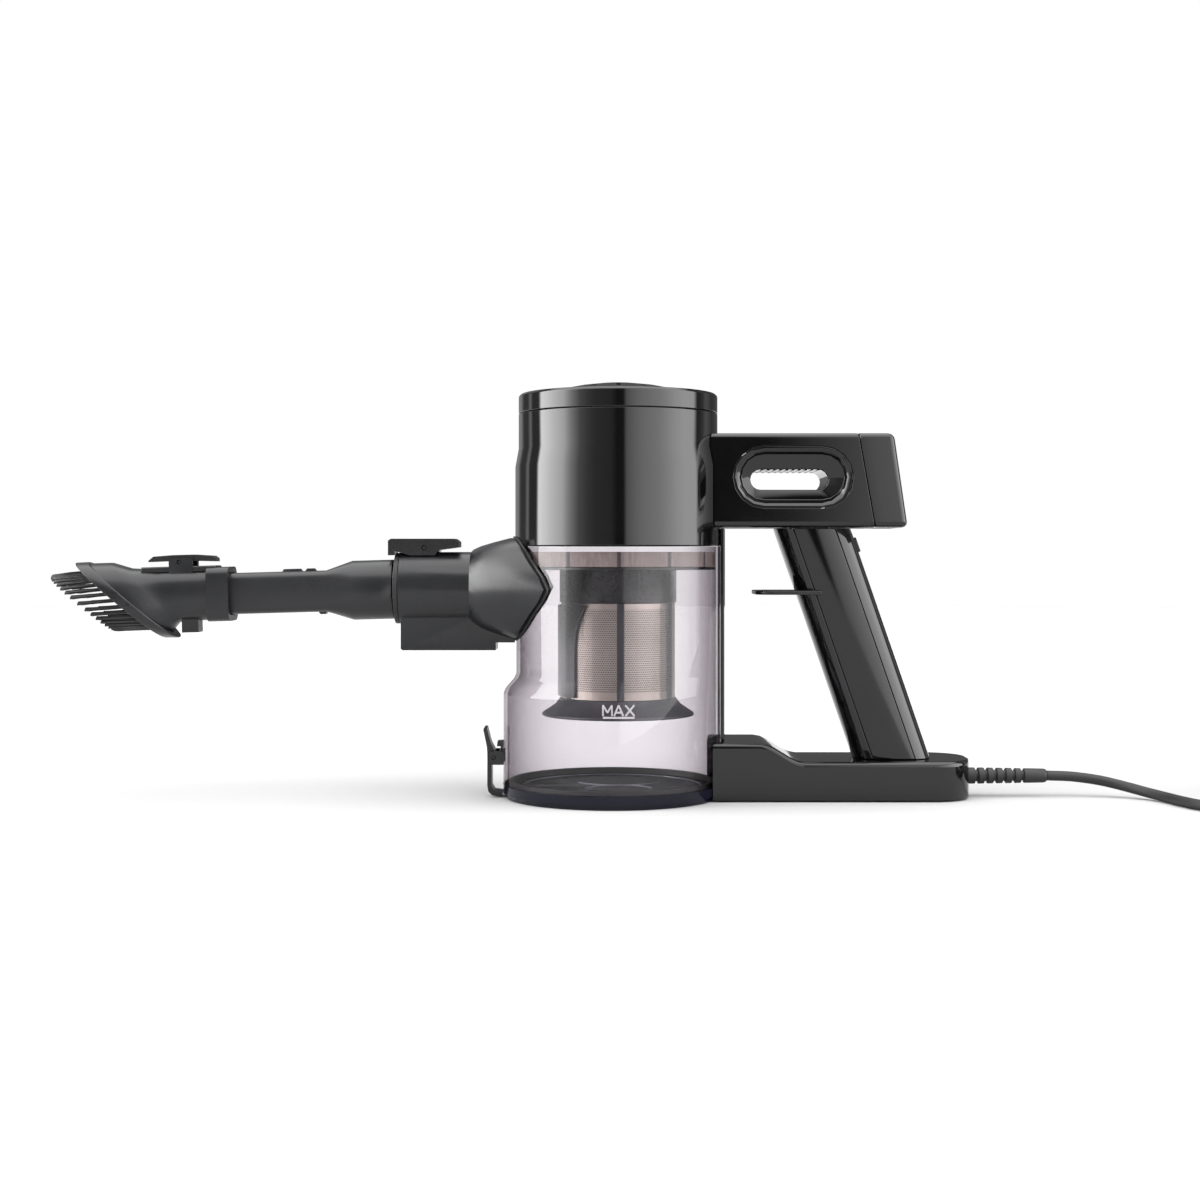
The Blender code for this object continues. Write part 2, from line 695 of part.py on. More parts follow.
def make_lid(mats):
    centre = bin_centre(BIN_LOW_R)
    inner = BIN_LOW_R - BIN_WALL
    recess_r = inner - 0.0085
    profile = [
        (LID_BOSS_R, 0), (LID_BOSS_R, LID_FLOOR / 2), (recess_r, LID_FLOOR / 2), (recess_r, 0),
        (LID_FOOT_R, 0), (LID_FOOT_R, LID_STEP), (LID_RIM_R, LID_STEP), (LID_RIM_R, LID_RIM_TOP),
        (inner - 0.0006, LID_RIM_TOP), (inner - 0.0006, LID_FLOOR), (LID_BOSS_R, LID_FLOOR),
    ]
    origin = (hinge_x(), 0, HINGE_Z)
    lid = put("bin_lid", turned(profile, centre=centre, hollow=False), mats["gloss"], origin)
    back = LID_RIM_R + centre[0] - 0.002
    knuckle = [(back, HINGE_Z + KNUCKLE_R), (back, HINGE_Z - KNUCKLE_R)]
    knuckle += arc(hinge_x(), HINGE_Z, KNUCKLE_R, -90, 90, 8)
    boolean(lid, helper("lid_knuckle", prism(knuckle, -KNUCKLE_HALF, KNUCKLE_HALF)), "UNION")
    cut(lid, helper("lid_pin_cutter", hinge_bore()))
    seal = ring_profile(inner - 0.0036, inner - 0.0012, LID_FLOOR + GAP, LID_RIM_TOP + 0.0022)
    put("lid_seal", turned(seal, centre=centre), mats["rubber"], origin)
    reach = KNUCKLE_HALF + EAR_THICK
    pin = rod(HINGE_PIN_R, -reach, reach, 12, axis="Y", centre=origin)
    put("lid_hinge_pin", pin, mats["steel"], origin)


def make_bin_latch(mats):
    wall_x = bin_centre(BIN_LOW_R)[0] - BIN_LOW_R
    pin_x = wall_x - LATCH_OFFSET
    back = wall_x - 0.0026
    ear_low, ear_high = LATCH_Z - 0.0042, LATCH_Z + 0.0036
    half, outer = LATCH_HALF + GAP, LATCH_HALF + GAP + 0.003
    front = pin_x - 0.0024
    plan = [(wall_x + 0.004, -outer), (front, -outer), (front, -half), (back, -half), (back, half),
            (front, half), (front, outer), (wall_x + 0.004, outer)]
    bracket = put("latch_bracket", prism(plan, ear_low, ear_high, "Z"), mats["gloss"])
    lug_low, lug_high = LATCH_Z + 0.0062, LATCH_Z + 0.0092
    lug = [(wall_x + 0.004, ear_high - 0.001), (wall_x - 0.0015, ear_high - 0.001),
           (wall_x - 0.0015, lug_low), (wall_x - 0.0038, lug_low), (wall_x - 0.0034, lug_high),
           (wall_x + 0.004, lug_high)]
    boolean(bracket, helper("latch_lug", prism(lug, -0.005, 0.005)), "UNION")
    bore = rod(LATCH_PIN_R + PIN_GAP, -0.02, 0.02, 12, axis="Y", centre=(pin_x, 0, LATCH_Z))
    bore_cutter = helper("latch_pin_cutter", bore)
    cut(bracket, bore_cutter, helper("latch_wall_cutter", bin_envelope(GAP, 0, 0.05)))

    strap_x = pin_x - 0.004
    strap_in = strap_x + STRAP_THICK
    foot = LATCH_FOOT
    tip_x = bin_centre(BIN_LOW_R)[0] - LID_RIM_R - 0.0004
    outline = [
        (strap_in, LATCH_Z - 0.0034), (strap_in, foot + 0.0058), (strap_in + 0.0016, foot + 0.0032),
        (tip_x, foot + 0.0026), (tip_x, foot), (strap_x + 0.0056, foot), (strap_x + 0.0026, foot + 0.0008),
        (strap_x + 0.0006, foot + 0.0028), (strap_x, foot + 0.006), (strap_x, LATCH_Z + 0.001),
        (strap_x - 0.0002, LATCH_Z + 0.006), (strap_x - 0.0024, LATCH_TOP - 0.0014),
        (strap_x - 0.0018, LATCH_TOP), (strap_x - 0.0002, LATCH_TOP - 0.0004),
        (strap_x + 0.0020, LATCH_Z + 0.0085), (pin_x + 0.0008, LATCH_Z + 0.0032),
    ]
    outline += arc(pin_x, LATCH_Z, 0.0023, 60, -100, 6)
    origin = (pin_x, 0, LATCH_Z)
    lever = put("bin_latch", prism(outline, -LATCH_HALF, LATCH_HALF), mats["gloss"], origin)
    spring_half = 0.0032
    notch = rod(0.0027, -spring_half - GAP, spring_half + GAP, 12, axis="Y", centre=origin)
    cut(lever, bore_cutter, helper("latch_spring_cutter", notch))
    pin = rod(LATCH_PIN_R, -outer, outer, 12, axis="Y", centre=origin)
    put("latch_pin", pin, mats["steel"], origin)
    coil_spring("latch_spring", origin, 0.0018, 0.00035, spring_half - 0.0008, 4, mats["steel"])


# ---------- inlet nozzle ----------

def rounded_hexagon(phi):
    """Radius of the saddle's outline at an angle, as a rounded hexagon lying on its side."""
    lean = atan_ratio(SADDLE_HALF_HEIGHT, SADDLE_HALF_ARC - SADDLE_TOP_HALF_ARC)
    slant = SADDLE_HALF_ARC * cos(lean)
    normals = [(pi / 2, SADDLE_HALF_HEIGHT), (-pi / 2, SADDLE_HALF_HEIGHT)]
    normals += [(sx * lean + turn, slant) for turn in (0, pi) for sx in (-1, 1)]
    total = sum((max(cos(phi - n), 0.0) / d) ** SADDLE_SHARPNESS for n, d in normals)
    return total ** (-1 / SADDLE_SHARPNESS)


def atan_ratio(height, width):
    """The angle from +X of the normal of a side that falls by height over width."""
    return acos(height / sqrt(height * height + width * width))


def saddle_ring(r, grow, steps=40):
    ring = []
    for i in range(steps):
        phi = 2 * pi * i / steps
        reach = rounded_hexagon(phi) * grow
        a = reach * cos(phi) / BIN_R
        ring.append(Vector((-r * cos(a), r * sin(a), INLET_LEVEL + reach * sin(phi))))
    return ring


def nozzle_shape():
    """From the round neck to the saddle's outline, then straight in to the bin's axis."""
    steps = 40
    saddle_r = BIN_R + GASKET_THICK + 3 * GAP + 0.0016
    neck = circle(NOZZLE_R, 0, steps, "X", (NOZZLE_NECK_X, 0, INLET_LEVEL))
    edge = saddle_ring(saddle_r, 1.0, steps)
    rings = [circle(NOZZLE_R, 0, steps, "X", (NOZZLE_MOUTH_X, 0, INLET_LEVEL)), neck]
    for t in (0.25, 0.5, 0.75):
        ease = t ** 1.25
        rings.append([a.lerp(b, ease) + Vector((-0.004 * sin(pi * t), 0, 0)) for a, b in zip(neck, edge)])
    rings += [edge, saddle_ring(BIN_R - 0.012, 1.0, steps)]
    return skin(rings)


def make_nozzle(mats):
    shell = put("inlet_nozzle", nozzle_shape(), mats["matte"])
    under = [
        (BOX_FRONT_X, BOX_BOTTOM + 0.001), (BOX_FRONT_X + 0.001, BOX_BOTTOM), (BOX_REAR_X, BOX_BOTTOM),
        (BOX_REAR_X, BOX_STEP_BOTTOM), (BOX_STEP_X, BOX_STEP_BOTTOM), (BOX_STEP_X, INLET_LEVEL - 0.004),
        (BOX_FRONT_X, INLET_LEVEL - 0.004),
    ]
    boolean(shell, helper("nozzle_underside", prism(under, -BOX_HALF, BOX_HALF)), "UNION")
    boss_low = INLET_LEVEL + NOZZLE_R - 0.003
    boss = [(RELEASE_X - 0.004, boss_low), (RELEASE_X + 0.004, boss_low), (RELEASE_X + 0.003, RELEASE_Z)]
    boss += arc(RELEASE_X, RELEASE_Z, 0.003, 0, 180, 6)
    boolean(shell, helper("nozzle_boss", prism(boss, -BOSS_HALF, BOSS_HALF)), "UNION")
    pin_bore = rod(RELEASE_PIN_R + PIN_GAP, -0.02, 0.02, 12, axis="Y", centre=(RELEASE_X, 0, RELEASE_Z))
    pin_cutter = helper("release_pin_cutter", pin_bore)
    seat_offset = GASKET_THICK + 2 * GAP
    cut(
        shell,
        helper("nozzle_bore", rod(NOZZLE_BORE, BORE_FRONT, BORE_BACK, 32, "X", (0, 0, INLET_LEVEL))),
        helper("nozzle_seat", body_envelope(seat_offset)),
        pin_cutter,
    )

    gasket = skin([saddle_ring(BIN_R + 0.006, GASKET_PROUD), saddle_ring(BIN_R - 0.012, GASKET_PROUD)])
    seal = put("inlet_gasket", gasket, mats["rubber"])
    boolean(seal, helper("gasket_outer", body_envelope(GASKET_THICK + GAP)), "INTERSECT")
    cut(
        seal,
        helper("gasket_bore", rod(INLET_R + 0.001, BORE_FRONT, BORE_BACK, 32, "X", (0, 0, INLET_LEVEL))),
        helper("gasket_seat", body_envelope(GAP)),
    )

    mouth = ring_profile(NOZZLE_BORE, MOUTH_RING_R, MOUTH_RING_X, NOZZLE_MOUTH_X - GAP)
    put("mouth_ring", turned(mouth, 32, "X", (0, 0, INLET_LEVEL)), mats["gloss"])
    make_release_button(mats, pin_cutter)


def make_release_button(mats, pin_cutter):
    """A rocker. Its rear end is pressed down, and its nose lifts clear of the tool."""
    top = RELEASE_TOP
    nose = RELEASE_FRONT_X
    rear = RELEASE_REAR_X
    crest = INLET_LEVEL + NOZZLE_R
    nose_low = INLET_LEVEL + ROUND_R + 0.0001
    stop = MOUTH_RING_X - GAP
    outline = [
        (nose, nose_low), (nose, top - 0.0012), (nose + 0.0016, top), (rear - 0.0024, top),
        (rear, top - 0.0018), (rear, crest + 0.0028), (RELEASE_X + 0.009, crest + 0.0012),
        (RELEASE_X + 0.006, crest - 0.0026), (RELEASE_X - 0.006, crest - 0.0026), (stop, crest + 0.0006),
        (stop, nose_low),
    ]
    origin = (RELEASE_X, 0, RELEASE_Z)
    button = put("release_button", prism(outline, -RELEASE_HALF, RELEASE_HALF), mats["matte"], origin)
    pocket_half = RELEASE_HALF - RELEASE_CHEEK
    front, back = RELEASE_X - 0.0075, RELEASE_X + 0.0075
    pocket = box(front, back, -pocket_half, pocket_half, crest - 0.01, top - 0.0018)
    swing = rod(NOZZLE_R + 0.0009, BORE_FRONT, NOZZLE_NECK_X + 0.008, 40, "X", (0, 0, INLET_LEVEL))
    cut(button, helper("release_pocket", pocket), helper("release_swing", swing), pin_cutter)
    pin = rod(RELEASE_PIN_R, -RELEASE_HALF + 0.0004, RELEASE_HALF - 0.0004, 12, axis="Y", centre=origin)
    put("release_pin", pin, mats["steel"], origin)


# ---------- crevice tool and brush ----------

def tool_axis():
    """Everything on the tool hangs from this empty, whose X axis runs along the tool."""
    axis = bpy.data.objects.new("tool_axis", None)
    axis.location = (TOOL_X, 0, TOOL_Z)
    axis.rotation_euler.y = -TOOL_DROOP
    bpy.context.scene.collection.objects.link(axis)
    return axis


def flat_section(x, half_w, half_h, r=0.005):
    return [Vector((x, u, v)) for u, v in round_rect(half_w, half_h, r, 5)]


def round_section(x, r):
    """A circle whose points run as those of a flat section do, for a smooth change of shape."""
    ring = []
    for u, v in round_rect(1.0, 1.0, 0.7, 5):
        reach = sqrt(u * u + v * v)
        ring.append(Vector((x, r * u / reach, r * v / reach)))
    return ring


def make_tool(mats, axis):
    wall = TOOL_WALL
    outer = [
        round_section(SPIGOT_LENGTH, SPIGOT_R), round_section(0.0, SPIGOT_R), round_section(0.0, ROUND_R),
        round_section(ROUND_END, ROUND_R), flat_section(CONE_END, FLAT_HALF_WIDTH, FLAT_HALF_HEIGHT),
        flat_section(FLAT_END, FLAT_HALF_WIDTH, FLAT_HALF_HEIGHT),
    ]
    inner = [
        flat_section(FLAT_END, FLAT_HALF_WIDTH - wall, FLAT_HALF_HEIGHT - wall, 0.0035),
        flat_section(CONE_END, FLAT_HALF_WIDTH - wall, FLAT_HALF_HEIGHT - wall, 0.0035),
        round_section(ROUND_END, SPIGOT_R - wall), round_section(SPIGOT_LENGTH, SPIGOT_R - wall),
    ]
    tube_obj = put("crevice_tube", skin(outer + inner, loop=True), mats["matte"], parent=axis)
    bumps = [(x0, x1, FLAT_HALF_HEIGHT) for x0, x1 in DETENT_TOP] + [(*DETENT_LOW, -FLAT_HALF_HEIGHT)]
    for i, (x0, x1, face) in enumerate(bumps):
        side = 1 if face > 0 else -1
        low, high = face - side * wall / 2, face + side * DETENT_RISE
        ramp = [(x0, low), (x0 + 0.0018, high), (x1 - 0.0018, high), (x1, low)]
        boolean(tube_obj, helper(f"detent_{i}", prism(ramp, -0.0045, 0.0045), axis), "UNION")


def slanted_ring(top, low, half_width, scale=1.0, steps=32, shift=(0.0, 0.0)):
    """An oval whose long axis runs from a top to a low point, both (x, z) on the tool's axis."""
    mid = Vector(((top[0] + low[0]) / 2 + shift[0], 0, (top[1] + low[1]) / 2 + shift[1]))
    along = Vector(((top[0] - low[0]) / 2, 0, (top[1] - low[1]) / 2)) * scale
    ring = []
    for i in range(steps):
        a = 2 * pi * i / steps
        u = abs(cos(a)) ** 0.85 * (1 if cos(a) > 0 else -1)
        v = abs(sin(a)) ** 0.85 * (1 if sin(a) > 0 else -1)
        ring.append(mid + along * v + Vector((0, half_width * scale * u, 0)))
    return ring


def brush_sections(offset):
    """Ovals from the sleeve to the flared rim, moved in by a wall when the offset is negative."""
    high, wide = SLEEVE_HALF_HEIGHT + offset, SLEEVE_HALF_WIDTH + offset
    shrink = 1 + offset / RIM_HALF_WIDTH
    return [
        slanted_ring((COLLAR_FRONT, high), (COLLAR_FRONT, -high), wide),
        slanted_ring((SLEEVE_FRONT - 0.006, high), (SLEEVE_FRONT + 0.008, -high), wide),
        slanted_ring((SLEEVE_FRONT - 0.022, high + 0.0012), (SLEEVE_FRONT + 0.0055, -high - 0.001),
                     wide + 0.0015),
        slanted_ring(RIM_BACK_TOP, RIM_BACK_LOW, RIM_HALF_WIDTH - 0.0006, shrink),
        slanted_ring(RIM_TOP, RIM_LOW, RIM_HALF_WIDTH, shrink),
    ]


def make_brush(mats, axis):
    outer = brush_sections(0.0)
    inner = list(reversed(brush_sections(-TOOL_WALL)))
    inner[0] = slanted_ring(RIM_TOP, RIM_LOW, RIM_HALF_WIDTH, RIM_SECTION)
    body = put("brush_body", skin(outer + inner, loop=True), mats["matte"], parent=axis)
    collar_w, collar_h = SLEEVE_HALF_WIDTH + COLLAR_PROUD, SLEEVE_HALF_HEIGHT + COLLAR_PROUD
    collar = skin([flat_section(x, collar_w, collar_h, 0.006) for x in (COLLAR_FRONT - 0.001, SLEEVE_REAR)])
    block = box(STOP_BLOCK_FRONT, STOP_BLOCK_REAR, -STOP_BLOCK_HALF, STOP_BLOCK_HALF,
                -SLEEVE_HALF_HEIGHT - STOP_BLOCK_DROP, -SLEEVE_HALF_HEIGHT + 0.0015)
    for name, bm in (("collar", collar), ("block", block), ("latch_base", latch_base())):
        boolean(body, helper(f"brush_{name}", bm, axis), "UNION")
    inside = [flat_section(x, FLAT_HALF_WIDTH + SLIDE_GAP, FLAT_HALF_HEIGHT + SLIDE_GAP, 0.0054)
              for x in (FLAT_END - 0.004, SLEEVE_REAR + 0.01)]
    lever_bore = rod(LEVER_PIN_R + PIN_GAP, -0.02, 0.02, 12, "Y", (LEVER_PIVOT_X, 0, LEVER_PIVOT_Z))
    bore_cutter = helper("lever_pin_cutter", lever_bore, axis)
    cut(body, helper("brush_inside", skin(inside), axis), bore_cutter)
    make_bristles(mats, axis)
    make_brush_lever(mats, axis, bore_cutter)


def latch_base():
    """The base has two ears for the lever's pin."""
    half = LATCH_BASE_HALF
    ear = LEVER_HALF + GAP
    low = SLEEVE_HALF_HEIGHT - 0.0035
    high = LEVER_PIVOT_Z + 0.0024
    outline = [(-half, low), (half, low), (half, high), (ear, high), (ear, LATCH_BASE_TOP),
               (-ear, LATCH_BASE_TOP), (-ear, high), (-half, high)]
    return prism(outline, LATCH_BASE_FRONT + 0.017, LATCH_BASE_REAR - 0.014, "X")


def make_bristles(mats, axis):
    """A base strip in the rim's mouth, and a tapered tuft on each point of its oval."""
    mouth = RIM_SECTION - 0.055
    depth = Vector((BRISTLE_BASE_DEPTH, 0, 0))
    scales = (mouth, mouth - BRISTLE_STRIP)
    front = [slanted_ring(RIM_TOP, RIM_LOW, RIM_HALF_WIDTH, s) for s in scales]
    back = [[p + depth for p in ring] for ring in front]
    strip = put("bristle_ring", skin([back[0], front[0], front[1], back[1]], loop=True), mats["bristle"],
                parent=axis)
    tufts = bmesh.new()
    middle = mouth - BRISTLE_STRIP / 2
    reach = (-BRISTLE_REACH, -0.001)
    roots = slanted_ring(RIM_TOP, RIM_LOW, RIM_HALF_WIDTH, middle, BRISTLE_COUNT)
    tips = slanted_ring(RIM_TOP, RIM_LOW, RIM_HALF_WIDTH, middle * BRISTLE_SHRINK, BRISTLE_COUNT, reach)
    for root, tip in zip(roots, tips):
        add_tuft(tufts, root + depth / 2, tip)
    boolean(strip, helper("bristle_tufts", tufts, axis), "UNION")


def add_tuft(bm, root, tip):
    side = Vector((0, 1, 0))
    up = Vector((0.35, 0, 1)).normalized()
    rows = []
    for point, half in ((root, 0.0009), (tip, 0.0013)):
        corners = (side, up, -side, -up)
        rows.append([bm.verts.new(point + half * corner) for corner in corners])
    for i in range(4):
        j = (i + 1) % 4
        bm.faces.new((rows[0][i], rows[0][j], rows[1][j], rows[1][i]))
    bm.faces.new(list(reversed(rows[0])))
    bm.faces.new(rows[1])


def make_brush_lever(mats, axis, bore_cutter):
    z = LEVER_PIVOT_Z
    low = LATCH_BASE_TOP + 0.0028
    outline = [
        (LEVER_FRONT, LEVER_TOP - 0.003), (LEVER_FRONT + 0.003, LEVER_TOP - 0.0006),
        (LEVER_PIVOT_X - 0.004, LEVER_TOP), (LEVER_PIVOT_X + 0.008, LEVER_TOP),
        (LEVER_REAR - 0.002, LEVER_TOP - 0.001), (LEVER_REAR, LEVER_TOP - 0.0026),
        (LEVER_REAR, LEVER_TOP - 0.0044), (LEVER_PIVOT_X + 0.005, low + 0.0004),
    ]
    outline += arc(LEVER_PIVOT_X, z, 0.0021, -10, -170, 6)
    outline += [(LEVER_PIVOT_X - 0.005, low + 0.0004), (LEVER_FRONT, low + 0.0002)]
    origin = (LEVER_PIVOT_X, 0, z)
    lever = put("brush_lever", prism(outline, -LEVER_HALF, LEVER_HALF), mats["matte"], origin, axis)
    cut(lever, bore_cutter)
    pin = rod(LEVER_PIN_R, -LATCH_BASE_HALF + GAP, LATCH_BASE_HALF - GAP, 12, axis="Y", centre=origin)
    put("brush_lever_pin", pin, mats["steel"], origin, axis)


# ---------- rear arm ----------

def arm_outline(inset, front, top_end, low_end):
    return [(front, ARM_LOW + inset), (low_end, ARM_LOW + inset), (top_end, ARM_HIGH - inset),
            (front, ARM_HIGH - inset)]


def rounded_block(name, outline, half, r):
    """An outline extruded across the width, with its long edges rounded."""
    block = helper(name, prism(outline, -half, half))
    bevel = block.modifiers.new("Bevel", "BEVEL")
    bevel.width = r
    bevel.segments = 3
    bevel.limit_method = "ANGLE"
    bevel.angle_limit = radians(50)
    return block


def make_arm(mats):
    front = HOUSING_R - 0.0165
    hollow = arm_outline(ARM_WALL, front, SEAM_TOP_X - 0.0001, SEAM_LOW_X - 0.0001)
    cavity = helper("arm_cavity", prism(hollow, -ARM_HALF + ARM_WALL, ARM_HALF - ARM_WALL))
    seat = helper("arm_seat", housing_envelope(GAP, HOUSING_BOTTOM - 0.01))
    reach = 0.2
    slot = helper("arm_slot", prism(stadium(BEZEL_X, BEZEL_Z, SLOT_STRAIGHT, BEZEL_R + GAP), -reach, reach))
    for name, side in (("left", -1), ("right", 1)):
        outline = arm_outline(0, front, SEAM_TOP_X, SEAM_LOW_X)
        near, far = sorted((side * GAP / 2, side * ARM_HALF))
        half = put(f"rear_arm_{name}", prism(outline, near, far), mats["gloss"])
        longer = arm_outline(0, front - 0.02, SEAM_TOP_X + 0.02, SEAM_LOW_X + 0.02)
        block = rounded_block(f"arm_block_{name}", longer, ARM_HALF, ARM_ROUND)
        boolean(half, block, "INTERSECT")
        cut(half, cavity, seat, slot)
        make_bezel(mats, name, side)
    rings = []
    for r, y in ((SLOT_R, -1), (SLOT_R, 1), (SLOT_R + LINER_WALL, 1), (SLOT_R + LINER_WALL, -1)):
        edge = y * (SLOT_FACE - BEZEL_BACK - GAP)
        rings.append([Vector((u, edge, v)) for u, v in stadium(SLOT_X, SLOT_Z, SLOT_STRAIGHT, r)])
    put("slot_liner", skin(rings, loop=True), mats["satin"])


def make_bezel(mats, name, side):
    """A stadium dish from the arm's side face in to the slot."""
    def ring(cx, cz, r, y):
        return [Vector((u, side * y, v)) for u, v in stadium(cx, cz, SLOT_STRAIGHT, r)]
    back = SLOT_FACE - BEZEL_BACK
    rings = [
        ring(BEZEL_X, BEZEL_Z, BEZEL_R, ARM_HALF - 0.003),
        ring(BEZEL_X, BEZEL_Z, BEZEL_R, ARM_HALF - 0.0002),
        ring(BEZEL_X, BEZEL_Z, BEZEL_R - 0.0012, ARM_HALF - 0.0002),
        ring(BEZEL_X, BEZEL_Z, BEZEL_STEP_R, ARM_HALF - 0.0022),
        ring(BEZEL_X, BEZEL_Z, BEZEL_STEP_R - 0.0008, ARM_HALF - 0.0036),
        ring(SLOT_X, SLOT_Z, SLOT_R + 0.0008, SLOT_FACE), ring(SLOT_X, SLOT_Z, SLOT_R, SLOT_FACE - 0.0006),
        ring(SLOT_X, SLOT_Z, SLOT_R, back), ring(SLOT_X, SLOT_Z, SLOT_R + 0.002, back),
    ]
    put(f"slot_bezel_{name}", skin(rings, loop=True), mats["gloss"])


def make_end_cap(mats):
    longer = [(SEAM_LOW_X - 0.02, ARM_LOW), (END_LOW_X, ARM_LOW), (END_TOP_X, ARM_HIGH),
              (SEAM_TOP_X - 0.02, ARM_HIGH)]
    block = rounded_block("cap_block", longer, ARM_HALF, ARM_ROUND)
    outline = [(SEAM_LOW_X + SEAM_GAP, ARM_LOW), (END_LOW_X, ARM_LOW), (END_TOP_X, ARM_HIGH),
               (SEAM_TOP_X + SEAM_GAP, ARM_HIGH)]
    cap = put("rear_end_cap", prism(outline, -ARM_HALF, ARM_HALF), mats["gloss"])
    boolean(cap, block, "INTERSECT")
    hollow = [(SEAM_LOW_X - 0.01, ARM_LOW + ARM_WALL), (END_LOW_X - 2 * ARM_WALL, ARM_LOW + ARM_WALL),
              (END_TOP_X - 2 * ARM_WALL, ARM_HIGH - ARM_WALL), (SEAM_TOP_X - 0.01, ARM_HIGH - ARM_WALL)]
    cut(cap, helper("cap_hollow", prism(hollow, -ARM_HALF + ARM_WALL, ARM_HALF - ARM_WALL)))


# ---------- grip ----------

def grip_lean():
    return (GRIP_FRONT_LOW_X - GRIP_FRONT_TOP_X) / (GRIP_TOP - grip_low())


def grip_low():
    return BASE_LOW + GAP


def grip_front(z):
    return GRIP_FRONT_TOP_X + (GRIP_TOP - z) * grip_lean()


def grip_tube(offset, low=None, high=None, steps=28):
    """Rings of the grip's section, grown by an offset, at a low and a high level."""
    low = grip_low() if low is None else low
    high = GRIP_TOP if high is None else high
    half_x, half_y = GRIP_DEPTH_X / 2 + offset, GRIP_HALF + offset
    rings = []
    for z in (low, high):
        cx = grip_front(z) + GRIP_DEPTH_X / 2
        ring = []
        for i in range(steps):
            a = 2 * pi * i / steps
            u = abs(cos(a)) ** 0.7 * (1 if cos(a) > 0 else -1)
            v = abs(sin(a)) ** 0.7 * (1 if sin(a) > 0 else -1)
            ring.append(Vector((cx + half_x * u, half_y * v, z)))
        rings.append(ring)
    return rings


def grip_shell(outer, inner):
    """A slanted tube open at both ends."""
    a, b = grip_tube(outer)
    c, d = grip_tube(inner)
    return skin([a, b, d, c], loop=True)


def grip_zone(name, start, end, side=0):
    """A slanted slab between two distances behind the grip's front edge, on one side or both."""
    low, high = grip_low() - 0.01, GRIP_TOP + 0.01
    outline = [(grip_front(low) + start, low), (grip_front(low) + end, low),
               (grip_front(high) + end, high), (grip_front(high) + start, high)]
    near, far = {0: (-0.05, 0.05), 1: (0.0004, 0.05), -1: (-0.05, -0.0004)}[side]
    return helper(name, prism(outline, near, far))


def button_frame():
    """An empty on the rear of the grip. Its X axis points straight out of the rear face."""
    lean = grip_lean()
    frame = bpy.data.objects.new("button_axis", None)
    frame.location = (grip_front(BUTTON_Z) + GRIP_DEPTH_X, 0, BUTTON_Z)
    frame.rotation_euler.y = -acos(1 / sqrt(1 + lean * lean))
    bpy.context.scene.collection.objects.link(frame)
    return frame


def make_grip(mats):
    frame = button_frame()
    half_z = BUTTON_LENGTH / 2
    hole = box(-0.012, 0.01, -BUTTON_HALF - GAP, BUTTON_HALF + GAP, -half_z - GAP, half_z + GAP)
    hole_cutter = helper("button_hole", hole, frame)
    for name, side in (("left", -1), ("right", 1)):
        panel = put(f"grip_panel_{name}", grip_shell(0, -GRIP_WALL), mats["gloss"])
        zone = grip_zone(f"grip_panel_zone_{name}", FRONT_STRIP + GAP, GRIP_DEPTH_X - REAR_STRIP - GAP, side)
        boolean(panel, zone, "INTERSECT")
    front = put("grip_front_strip", grip_shell(0, -GRIP_WALL), mats["gloss"])
    boolean(front, grip_zone("grip_front_zone", -0.05, FRONT_STRIP), "INTERSECT")
    rear = put("grip_rear_strip", grip_shell(0, -GRIP_WALL), mats["gloss"])
    boolean(rear, grip_zone("grip_rear_zone", GRIP_DEPTH_X - REAR_STRIP, 0.2), "INTERSECT")
    cut(rear, hole_cutter)

    button = box(-0.0075, BUTTON_PROUD, -BUTTON_HALF, BUTTON_HALF, -half_z, half_z)
    put("power_button", button, mats["matte"], parent=frame)
    deep = -0.0075 - BUTTON_TRAVEL - GAP
    body = box(deep - 0.012, deep, -0.006, 0.006, -0.009, 0.007)
    put("switch_body", body, mats["satin"], parent=frame)

    nose = 0.010
    plan = arc(REST_REACH + nose, REST_HALF - nose, nose, 90, 180, 4)
    plan += arc(REST_REACH + nose, -REST_HALF + nose, nose, 180, 270, 4)
    plan += [(REST_BACK, -REST_HALF), (REST_BACK, REST_HALF)]
    rest = put("finger_rest", prism(plan, REST_LEVEL - REST_THICK / 2, REST_LEVEL + REST_THICK / 2, "Z"),
               mats["matte"])
    cut(rest, helper("rest_cutter", skin(grip_tube(GAP, REST_LEVEL - 0.01, REST_LEVEL + 0.01))))


# ---------- base arm ----------

def base_top(x):
    if x <= BASE_SLOPE_X:
        return BASE_HIGH
    if x >= BASE_SLOPE_END_X:
        return BASE_LOW
    t = (x - BASE_SLOPE_X) / (BASE_SLOPE_END_X - BASE_SLOPE_X)
    return BASE_HIGH + (BASE_LOW - BASE_HIGH) * t * t * (3 - 2 * t)


def base_rings(inset, low, drop, front):
    """Sections along X of the base arm, moved in by an inset, with its top lowered by a drop."""
    end = BASE_END_X - inset
    xs = [front, BASE_SLOPE_X]
    xs += [BASE_SLOPE_X + (BASE_SLOPE_END_X - BASE_SLOPE_X) * k / 6 for k in range(1, 7)]
    r = BASE_END_R - inset
    xs += [end - r + r * sin(radians(a)) for a in (0, 22, 42, 58, 72, 83)]
    rings = []
    for x in xs:
        back = max(0.0, x - (end - r))
        half = BASE_HALF - inset - r + sqrt(max(r * r - back * back, 0.0))
        top = base_top(x) - drop
        edge = BASE_ROUND if inset == 0 else 0.001
        corners = arc(half - edge, top - edge, edge, 0, 90, 3)
        section = corners + [(-u, v) for u, v in reversed(corners)] + [(-half, low), (half, low)]
        rings.append([Vector((x, u, v)) for u, v in section])
    return rings


